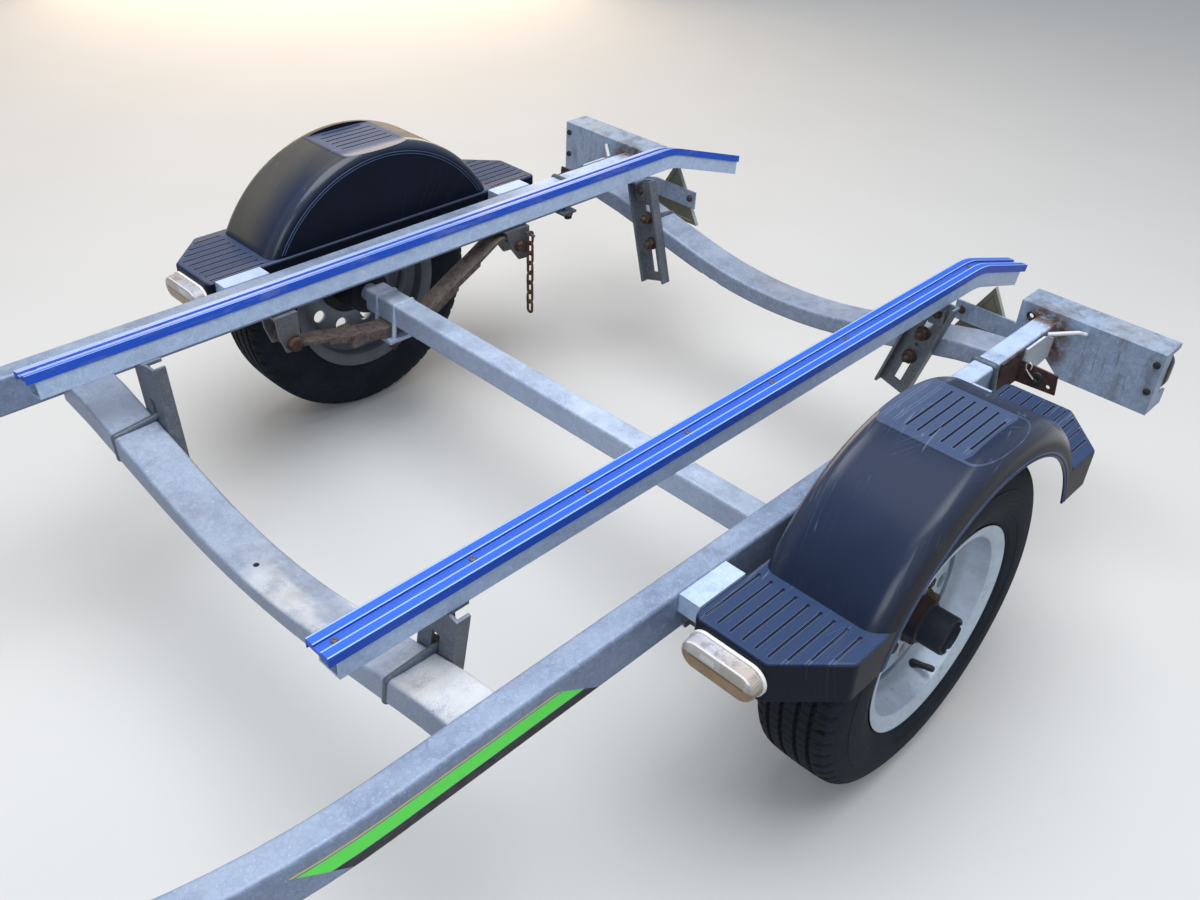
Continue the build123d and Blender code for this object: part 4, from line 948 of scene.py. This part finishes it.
# the U-bolts round the crossmembers, which hold the slotted channels
FRONT_WEB_X = 603.8
REAR_WEB_X = -556.8
CHANNEL_HALF = 33.5
CHANNEL_DEPTH = 22
CHANNEL_WALL = 5
BOW_Y = 230
BUNK_BOLT_R = 6
BOLT_SEAT = 6.4
BEND_BEHIND_WEB = 81.6
# of a crossmember's upper edge, then its lower: height where its bow starts, rise per mm outwards
FRONT_EDGES = ((340, 0.23), (301, 0.19))
REAR_EDGES = ((346, 0.23), (307, 0.225))
# side, channel's web, way it opens, its lower corner's y and z, its lean in degrees, the crossmember's edges
CHANNELS = [
    (1, FRONT_WEB_X, -1, 306, 233, 10, FRONT_EDGES),
    (1, REAR_WEB_X, 1, 292, 256, 15.5, REAR_EDGES),
    (-1, FRONT_WEB_X, -1, 289, 233, 6, FRONT_EDGES),
    (-1, REAR_WEB_X, 1, 260, 245, 15.5, REAR_EDGES),
]


def slot_place(y, z, lean, edge_z, rise, seat):
    """The y and z, to a tenth of a millimetre, at which a channel's slot passes a crossmember's edge."""
    y = y + CHANNEL_HALF * math.cos(lean)
    z = z - CHANNEL_HALF * math.sin(lean)
    up = (edge_z + rise * (y - BOW_Y) + seat - z) / (math.cos(lean) - rise * math.sin(lean))
    return round(y + up * math.sin(lean), 1), round(z + up * math.cos(lean), 1)


u_bolts = Shape()
u_nuts = Shape()
for side, web, way, y, z, lean, (upper_edge, lower_edge) in CHANNELS:
    upper = slot_place(y, z, math.radians(lean), *upper_edge, BOLT_SEAT)
    lower = slot_place(y, z, math.radians(lean), *lower_edge, -BOLT_SEAT)
    end = web + way * CHANNEL_DEPTH
    bend = web - way * BEND_BEHIND_WEB
    corners = [(end, side * upper[0], upper[1]), (bend, side * upper[0], upper[1]),
               (bend, side * lower[0], lower[1]), (end, side * lower[0], lower[1])]
    u_bolts.bar(rounded(corners, 11), BUNK_BOLT_R, 14)
    for y, z in (upper, lower):
        nut(u_nuts, (web + way * CHANNEL_WALL, side * y, z), (way, 0, 0), 13, 0.2 + y)
        thread(u_nuts, (web + way * (CHANNEL_WALL + 12.8), side * y, z), (way, 0, 0), 12.4, 10)

# the U-bolts over the rails, and the plates under the rails
RAIL_BOLT_X = -466
RAIL_BOLT_R = 7.6
RAIL_BOLT_HALF = 27.9
RAIL_BOLT_TOP = RAIL_Z_TOP + 7.8
RAIL_BOLT_LOW = 342
FOOT_HALF = 34.3
FOOT_Z = RAIL_Z_LOW - 6.2
for side in (1, -1):
    legs = [side * (RAIL_Y - RAIL_BOLT_HALF), side * (RAIL_Y + RAIL_BOLT_HALF)]
    corners = [(RAIL_BOLT_X, legs[0], RAIL_BOLT_LOW), (RAIL_BOLT_X, legs[0], RAIL_BOLT_TOP),
               (RAIL_BOLT_X, legs[1], RAIL_BOLT_TOP), (RAIL_BOLT_X, legs[1], RAIL_BOLT_LOW)]
    u_bolts.bar(rounded(corners, 11), RAIL_BOLT_R, 14)
    foot = [(-20, -FOOT_HALF), (20, -FOOT_HALF), (20, FOOT_HALF), (-20, FOOT_HALF)]
    foot = [(RAIL_BOLT_X + x, side * (RAIL_Y + y)) for x, y in foot]
    u_bolts.plate(foot, 6, Matrix.Translation((0, 0, FOOT_Z)))
    for y in legs:
        nut(u_nuts, (RAIL_BOLT_X, y, FOOT_Z), (0, 0, -1), 10)
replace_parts(u_bolts.piece("bent_u_bolts", bolt_zinc, "galvanised"), "u_bolts")
u_nuts.piece("u_bolt_nuts", rust_bolt, "rusty_steel")

# the chain that hangs from the right rear hanger
CHAIN_X = -341
CHAIN_Y = -485.5
CHAIN_Z = 347.6
CHAIN_PITCH = 24
chain = Shape()
for i in range(8):
    move = Matrix.Translation((CHAIN_X, CHAIN_Y, CHAIN_Z - CHAIN_PITCH * (i + 0.5)))
    quarter = Matrix.Rotation(math.pi / 2 * (i % 2), 4, "Z")
    points = [move @ (quarter @ Vector(p)) for p in link(35, 20, 6)]
    chain.bar(points, 3, 10, True)
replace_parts(chain.piece("hanging_chain", rust_chain, "rusty_steel"), "rear_chain")

# the marker lamps' lenses, with round ends
LENS_END_R = 22
LENS_END_Y = 35.5


def lamp_outline(inset):
    """A slot-shaped outline for a marker lamp, as (along, up) pairs."""
    radius = LENS_END_R - inset
    outer = arc(LENS_END_Y, 0, radius, -math.pi / 2, math.pi, 12)
    return outer + arc(-LENS_END_Y, 0, radius, math.pi / 2, math.pi, 12)


# how far out, inset
LENS = [(0, -0.2), (2, -0.2), (2.4, 0.2), (14, 0.6), (17.4, 1.4), (19.2, 2.8), (20.0, 5), (20.3, 9),
        (20.5, 18)]
GASKET_THICK = 5.5
lamp_face = FENDER_X + STEP_X_HALF + GASKET_THICK
for side, name in SIDES:
    lens = Shape()
    rings = []
    for out, inset in LENS:
        rings.append([(lamp_face + out, side * (LAMP_Y + y), LAMP_Z + z) for y, z in lamp_outline(inset)])
    lens.rings(rings)
    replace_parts(lens.piece(f"marker_lens_{name}", marker_lens, "clear_lens", "chassis", 60), "marker_lenses")


def wheel_piece(side):
    """A pressed wheel: the barrel, and a disc that stands well out, with round vents in its raised ring."""
    shape = Shape()
    turned = facing((0, 0, AXLE_Z), (0, side, 0))
    thick = 4
    # distance out from the tyre's middle, radius
    skin = [(-63, 170), (-60.5, 162), (-57, 156), (-54, 152), (-34, 150), (-24, 133), (8, 133), (24, 146),
            (54, 152), (57, 156), (60.5, 162), (63, 170)]
    under = [(64.6, 170.4), (62.6, 160), (60.6, 154), (56.6, 148.2), (26, 142), (10, 129), (-27, 129),
             (-36, 146), (-57, 148), (-61, 154), (-62.6, 160), (-64.6, 170.4)]
    shape.turned([(WHEEL_Y + out, r) for out, r in skin + under], turned, 120, True)
    centre = [(DISC_Y + 3, 34), (DISC_Y + 3, 72), (DISC_Y + 2.2, 76), (DISC_Y, 82), (DISC_Y, 84)]
    edge = [(DISC_Y, 118), (DISC_Y - 0.6, 120.5), (DISC_Y - 2.2, 122.6), (DISC_Y - 7, 124.6),
            (DISC_WELD_Y + 2, 126.4), (DISC_WELD_Y, DISC_WELD_R)]
    for front in (centre, edge):
        shape.turned(front + [(out - thick, r) for out, r in reversed(front)], turned, 120, True)
    per = 24
    half = math.pi / VENT_COUNT
    half_ring = 17
    for i in range(VENT_COUNT):
        middle = math.tau * i / VENT_COUNT - math.radians(1.5)
        cos = math.cos(middle)
        sin = math.sin(middle)
        hole = []
        around = []
        for k in range(per):
            turn = math.tau * k / per
            hole.append((VENT_CIRCLE_R + VENT_R * math.cos(turn), VENT_R * math.sin(turn)))
            # the same turn on the sector's border, in radius and in turns about the axle
            reach = max(abs(math.cos(turn)), abs(math.sin(turn)))
            around.append((VENT_CIRCLE_R + half_ring * math.cos(turn) / reach, half * math.sin(turn) / reach))
        rings = []
        for out in (DISC_Y, DISC_Y - thick):
            inner = [(x * cos - y * sin, x * sin + y * cos, out) for x, y in hole]
            outer = [(r * math.cos(middle + t), r * math.sin(middle + t), out) for r, t in around]
            rings += [outer, inner] if out == DISC_Y else [inner, outer]
        # the vent's raised edge, a little inside its hole
        lip = [(x + (VENT_CIRCLE_R * cos - x) * 0.07, y + (VENT_CIRCLE_R * sin - y) * 0.07, DISC_Y + 1.3)
               for x, y, _ in rings[1]]
        shape.rings([rings[0], rings[1], lip, rings[2], rings[3]], turned, True)
    return shape


def hub_piece(side):
    """The hub with its flange behind the wheel, a long boss, and a cap with a hollow, notched end."""
    shape = Shape()
    turned = facing((0, 0, AXLE_Z), (0, side, 0))
    face = DISC_Y - 1.2
    # distance from the trailer's middle, radius
    flange = [(612, 22), (612, 46), (650, 50), (678, 50), (680, 70), (face, 70), (face, 34), (face, 22)]
    shape.turned(flange, turned, 64, True)
    end = HUB_CAP_Y
    outline = [(DISC_Y - 1, HUB_BOSS_R), (end - 44, HUB_BOSS_R), (end - 43, HUB_BOSS_R + 0.8),
               (end - 41, HUB_BOSS_R + 0.8), (end - 38, HUB_CAP_R), (end - 3, HUB_CAP_R),
               (end - 0.8, HUB_CAP_R - 1), (end, HUB_CAP_R - 2.6), (end - 0.6, HUB_CAP_R - 4.4),
               (end - 7, HUB_CAP_R - 6), (end - 9, HUB_CAP_R - 10), (end - 9.4, 0.5)]
    sides = 72
    rings = []
    for out, r in outline:
        ring = []
        for k in range(sides):
            turn = math.tau * k / sides
            # four notches in the cap's end
            dent = 2.4 if k % 18 < 3 and out > end - 3.5 and r > 20 else 0
            ring.append((r * math.cos(turn), r * math.sin(turn), out - dent))
        rings.append(ring)
    shape.rings(rings, turned)
    return shape


# x, y, z, radius
VALVE_STEM = [(-49, 701, 132, 8.0), (-46, 708, 140, 7.2), (-46, 716, 144, 5.4), (-46, 729, 148, 4.8)]
VALVE_CAP = [(-46, 728, 147.7, 5.2), (-46, 738, 150.4, 5.2), (-46, 741, 151, 4.2)]
for side, name in SIDES:
    body = f"wheel_{name}"
    pressed = wheel_piece(side).piece(f"wheel_{name}_pressed", wheel_silver, "wheel_silver", body, 30)
    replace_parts(pressed, f"wheel_{name}")
    capped = hub_piece(side).piece(f"hub_{name}_cap", hub_paint, "black_metal", body, 32)
    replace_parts(capped, f"hub_{name}")
    nuts = Shape()
    for i in range(NUT_COUNT):
        turn = math.radians(184 + 360 / NUT_COUNT * i)
        place = (NUT_CIRCLE_R * math.cos(turn), side * (DISC_Y + 3), AXLE_Z + NUT_CIRCLE_R * math.sin(turn))
        move = facing(place, (0, side, 0), 0.4 + i)
        nuts.turned([(0, 11.5), (3, 11.5), (5, 9.6)], move, 24)
        nuts.turned([(4.6, 9.8), (5.4, 10.6), (15, 10.6), (17, 9.2), (18.2, 6)], move, 6)
    nuts.piece(f"wheel_nuts_{name}", rust_bolt, "rusty_steel", body)
    valve = Shape()
    for line in (VALVE_STEM, VALVE_CAP):
        valve.bar([(x, side * y, z) for x, y, z, r in line], [r for x, y, z, r in line], 16)
    valve.piece(f"tyre_valve_{name}", rubber, "rubber_black", body)

# the beads along the fenders' openings and on their inner walls: radius, y, radius of the bar, lowest z
BEADS = [
    (ARCH_OPEN_R + 1.2, FENDER_Y_OUT - 0.4, 1.5, 364),
    (ARCH_OPEN_R + 7.0, FENDER_Y_OUT - 0.4, 2.0, 364),
    (281, FENDER_Y_IN + 3.9, 1.1, 431),
    (286, FENDER_Y_IN + 3.9, 1.1, 431),
]
for side, name in SIDES:
    beads = Shape()
    for radius, y, bar_r, low in BEADS:
        start = math.asin((low - ARCH_Z) / radius)
        path = [(x, side * y, z) for x, z in arc(FENDER_X, ARCH_Z, radius, start, math.pi - 2 * start, 72)]
        beads.bar(path, bar_r, 10)
    beads.piece(f"fender_beads_{name}", bead, "black_plastic")

# the screws in the strips' grooves
screws = Shape()
SCREW_COUNT = 8
SCREW_PITCH = 198
FIRST_SCREW_X = 746
# height, radius
SCREW_HEAD = [(-0.4, 4.6), (1.0, 4.5), (1.9, 3.6), (2.3, 2.2), (2.3, 1.3), (1.2, 0.9), (1.2, 0.1)]


def rolled_place(y, z):
    """Where a point of the right bunk comes to by its roll, in the left side's y and z."""
    out = y - BUNK_EDGE_Y
    up = z - BUNK_Z_LOW
    return (BUNK_EDGE_Y + out * math.cos(RIGHT_ROLL) + up * math.sin(RIGHT_ROLL),
            BUNK_Z_LOW - out * math.sin(RIGHT_ROLL) + up * math.cos(RIGHT_ROLL))


for i in range(SCREW_COUNT):
    x = FIRST_SCREW_X - SCREW_PITCH * i
    screws.turned(SCREW_HEAD, facing((x, BUNK_Y, BUNK_Z_SCREW), (0, 0, 1)), 20)
    y, z = rolled_place(BUNK_Y, BUNK_Z_SCREW)
    screws.turned(SCREW_HEAD, facing((x, -y, z), (0, -math.sin(RIGHT_ROLL), math.cos(RIGHT_ROLL))), 20)
screws.piece("strip_screws", screw_steel, "galvanised")

# the bolts of the small angles under the bunks, the nuts on the hangers' pins, and the plates' bolts
HANGER_HALF = 27.9
EYE_X = 256
EYE_Z = 299
REAR_PIN_X = -318
REAR_PIN_Z = 322
BAR_BOLT_Y = 352
BAR_BOLT_Z = 368
fixings = Shape()
plate_bolts = Shape()
y, z = rolled_place(361, 432)
for web, way in ((FRONT_WEB_X, -1), (REAR_WEB_X, 1)):
    bolt_head(fixings, (web + way * 10.2, 382, 433), (way, 0, 0), 8, 0.5)
    bolt_head(fixings, (web + way * 10.2, -y, z), (way, 0, 0), 8, 0.1)
for side in (1, -1):
    for way in (1, -1):
        cheek = side * (SPRING_Y + way * HANGER_HALF)
        nut(fixings, (EYE_X, cheek, EYE_Z), (0, side * way, 0), 15, 0.2 * way)
        nut(fixings, (REAR_PIN_X, cheek, REAR_PIN_Z), (0, side * way, 0), 12, 0.4)
    for y, z in ((729, 422), (729, 368)):
        bolt_head(plate_bolts, (PLATE_X, side * y, z), (1, 0, 0), 6, 0.1)
    bolt_head(fixings, (PLATE_X - 21, side * BAR_BOLT_Y, BAR_BOLT_Z), (1, 0, 0), 7, 0.7)
fixings.piece("small_bolts", rust_bolt, "rusty_steel")
plate_bolts.piece("plate_bolts", dark_bolt, "black_metal")

# the grommets in the lamp plates and on the side brackets, as height and radius
PLATE_GROMMET = [(0, 8.5), (1.6, 8.8), (2.6, 7.6), (2.2, 5.4), (0.4, 4.6), (-3, 4.4), (-3, 5.6), (0, 6)]
SIDE_GROMMET = [(0, 3), (0, 11), (2.4, 10.4), (3.6, 8), (3.6, 5), (1.2, 3)]
grommets = Shape()
for outline, x, y, z in ((PLATE_GROMMET, PLATE_X, 494, 422), (SIDE_GROMMET, -560, 584, 385)):
    for side in (1, -1):
        grommets.turned(outline, facing((x, side * y, z), (1, 0, 0)), 24, True)
grommets.piece("plate_grommets", rubber, "rubber_black")

# the wire clips on the side brackets
CLIP_LINE = [(-554, 571, 399), (-553, 574, 408), (-553, 567, 413), (-553, 560, 407), (-553, 562, 396),
             (-554, 572, 388), (-554, 580, 383)]
clips = Shape()
for side in (1, -1):
    clips.bar(rounded([(x, side * y, z) for x, y, z in CLIP_LINE], 2.4, 4), 1.5, 10)
clips.piece("spring_clips", steel_bright, "galvanised")

# Rear lamps

REAR_Y_IN = 557
REAR_Y_OUT = 743
REAR_LOW = 354
REAR_TOP = 434


def lamp_slab(inset, x, side):
    """The outline of a rear lamp at one depth: square ends inwards, rounded outwards."""
    y0 = REAR_Y_IN + inset
    y1 = REAR_Y_OUT - inset
    z0 = REAR_LOW + inset
    z1 = REAR_TOP - inset
    corners = arc(y0 + 8, z1 - 8, 8, math.pi / 2, math.pi / 2, 8)
    corners += arc(y0 + 8, z0 + 8, 8, math.pi, math.pi / 2, 8)
    corners += arc(y1 - 26, z0 + 26, 26, 3 * math.pi / 2, math.pi / 2, 8)
    corners += arc(y1 - 26, z1 - 26, 26, 0, math.pi / 2, 8)
    return [(x, side * y, z) for y, z in corners]


# how far back, inset
REAR_BODY = [(0, 14), (0, 8), (26, 4), (30, 0.6), (32, 0), (46, 0), (47.6, 0.8), (47.9, 3)]
REAR_LENS = [(47.2, 2.6), (52, 2.8), (58, 4), (60.8, 6.4), (62, 10)]
lamp_x = PLATE_X - 4.7
for side, name in SIDES:
    body = Shape()
    body.rings([lamp_slab(inset, lamp_x - back, side) for back, inset in REAR_BODY])
    back_piece = body.piece(f"rear_lamp_body_{name}", black_plastic, "black_plastic", "chassis", 50)
    ring = Shape()
    ring.bar(lamp_slab(0.8, lamp_x - 46.8, side), 1.7, 10, True)
    ring.piece(f"rear_lamp_ring_{name}", steel_bright, "galvanised")
    lens = Shape()
    lens.rings([lamp_slab(inset, lamp_x - back, side) for back, inset in REAR_LENS])
    lens_piece = lens.piece(f"rear_lamp_lens_{name}", tail_lens, "red_lens", "chassis", 50)
    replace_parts(back_piece, "rear_lamp_bodies")
    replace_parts(lens_piece, "rear_lamp_lenses")

# the winch's strap, wound on its drum
STRAP_HALF = 29
STRAP_IN_R = 31.5
strap = Shape()
for i in range(4):
    half = STRAP_HALF - i
    low = 33 + i * 2.2
    outline = [(-half, STRAP_IN_R), (-half, low), (-28.4 + i, 34.6 + i * 2.2), (28.4 - i, 34.6 + i * 2.2),
               (half, low), (half, STRAP_IN_R)]
    strap.turned(outline, facing((WINCH_X, 0, WINCH_Z), (0, 1, 0)), 64)
strap.piece("winch_strap", strap_cloth, "black_plastic", "winch_drum")

# Camera, light and floor

CAMERA_PLACE = (1189.39, 1169.67, 1394.52)
# in degrees: up from straight down, roll, and turn about the upright axis
CAMERA_TURNS = (54.17411, -2.36776, 134.47484)
camera_data = bpy.data.cameras.new("camera")
camera_data.sensor_width = 36
camera_data.lens = 33.484
camera = added("camera", camera_data)
turns = Euler([math.radians(turn) for turn in CAMERA_TURNS])
camera.matrix_world = Matrix.Translation(at(*CAMERA_PLACE)) @ turns.to_matrix().to_4x4()
bpy.context.scene.camera = camera

# half the floor's width, in metres
FLOOR = 40
floor_mesh = bpy.data.meshes.new("floor")
corners = [(-FLOOR, -FLOOR, 0), (FLOOR, -FLOOR, 0), (FLOOR, FLOOR, 0), (-FLOOR, FLOOR, 0)]
floor_mesh.from_pydata(corners, [], [(0, 1, 2, 3)])
floor = added("floor", floor_mesh)
floor_finish = Finish("floor", Roughness=0.9, Specular_IOR_Level=0.1)
pale_floor = floor_finish.blend(floor_finish.noise(0.4, 3), (0.66, 0.66, 0.66), (0.70, 0.70, 0.70))
seen = floor_finish.node("ShaderNodeLightPath", {}, {}, "Is Camera Ray")
for ray in ("Is Glossy Ray", "Is Transmission Ray"):
    seen = seen.larger(floor_finish.node("ShaderNodeLightPath", {}, {}, ray))
floor_finish.paint(floor_finish.blend(seen, (0.22, 0.22, 0.22), pale_floor))
floor_mesh.materials.append(floor_finish.material)

world = bpy.data.worlds.new("studio")
bpy.context.scene.world = world
world.use_nodes = True
world.node_tree.nodes["Background"].inputs["Color"].default_value = (0.90, 0.95, 1.0, 1.0)
world.node_tree.nodes["Background"].inputs["Strength"].default_value = 0.45

# place and what it looks at, both in metres in the model's frame, size in metres, watts, colour
LAMPS = [
    ((-0.6, 0.4, 4.2), (-0.2, 0, 0.3), 3.6, 172, (0.98, 0.99, 1.0)),
    ((2.6, 2.4, 2.6), (0, 0, 0.3), 2.0, 38, (0.84, 0.92, 1.0)),
    ((-2.8, -3.6, 1.1), (-0.3, 0, 0.5), 2.6, 55, (1.0, 0.76, 0.50)),
]
for i, (place, target, size, watts, colour) in enumerate(LAMPS):
    lamp_data = bpy.data.lights.new(f"lamp_{i}", "AREA")
    lamp_data.size = size
    lamp_data.energy = watts
    lamp_data.color = colour
    lamp = added(f"lamp_{i}", lamp_data)
    lamp.location = place
    lamp.rotation_euler = (Vector(target) - Vector(place)).to_track_quat("-Z", "Y").to_euler()

bpy.context.scene.view_settings.view_transform = "Standard"
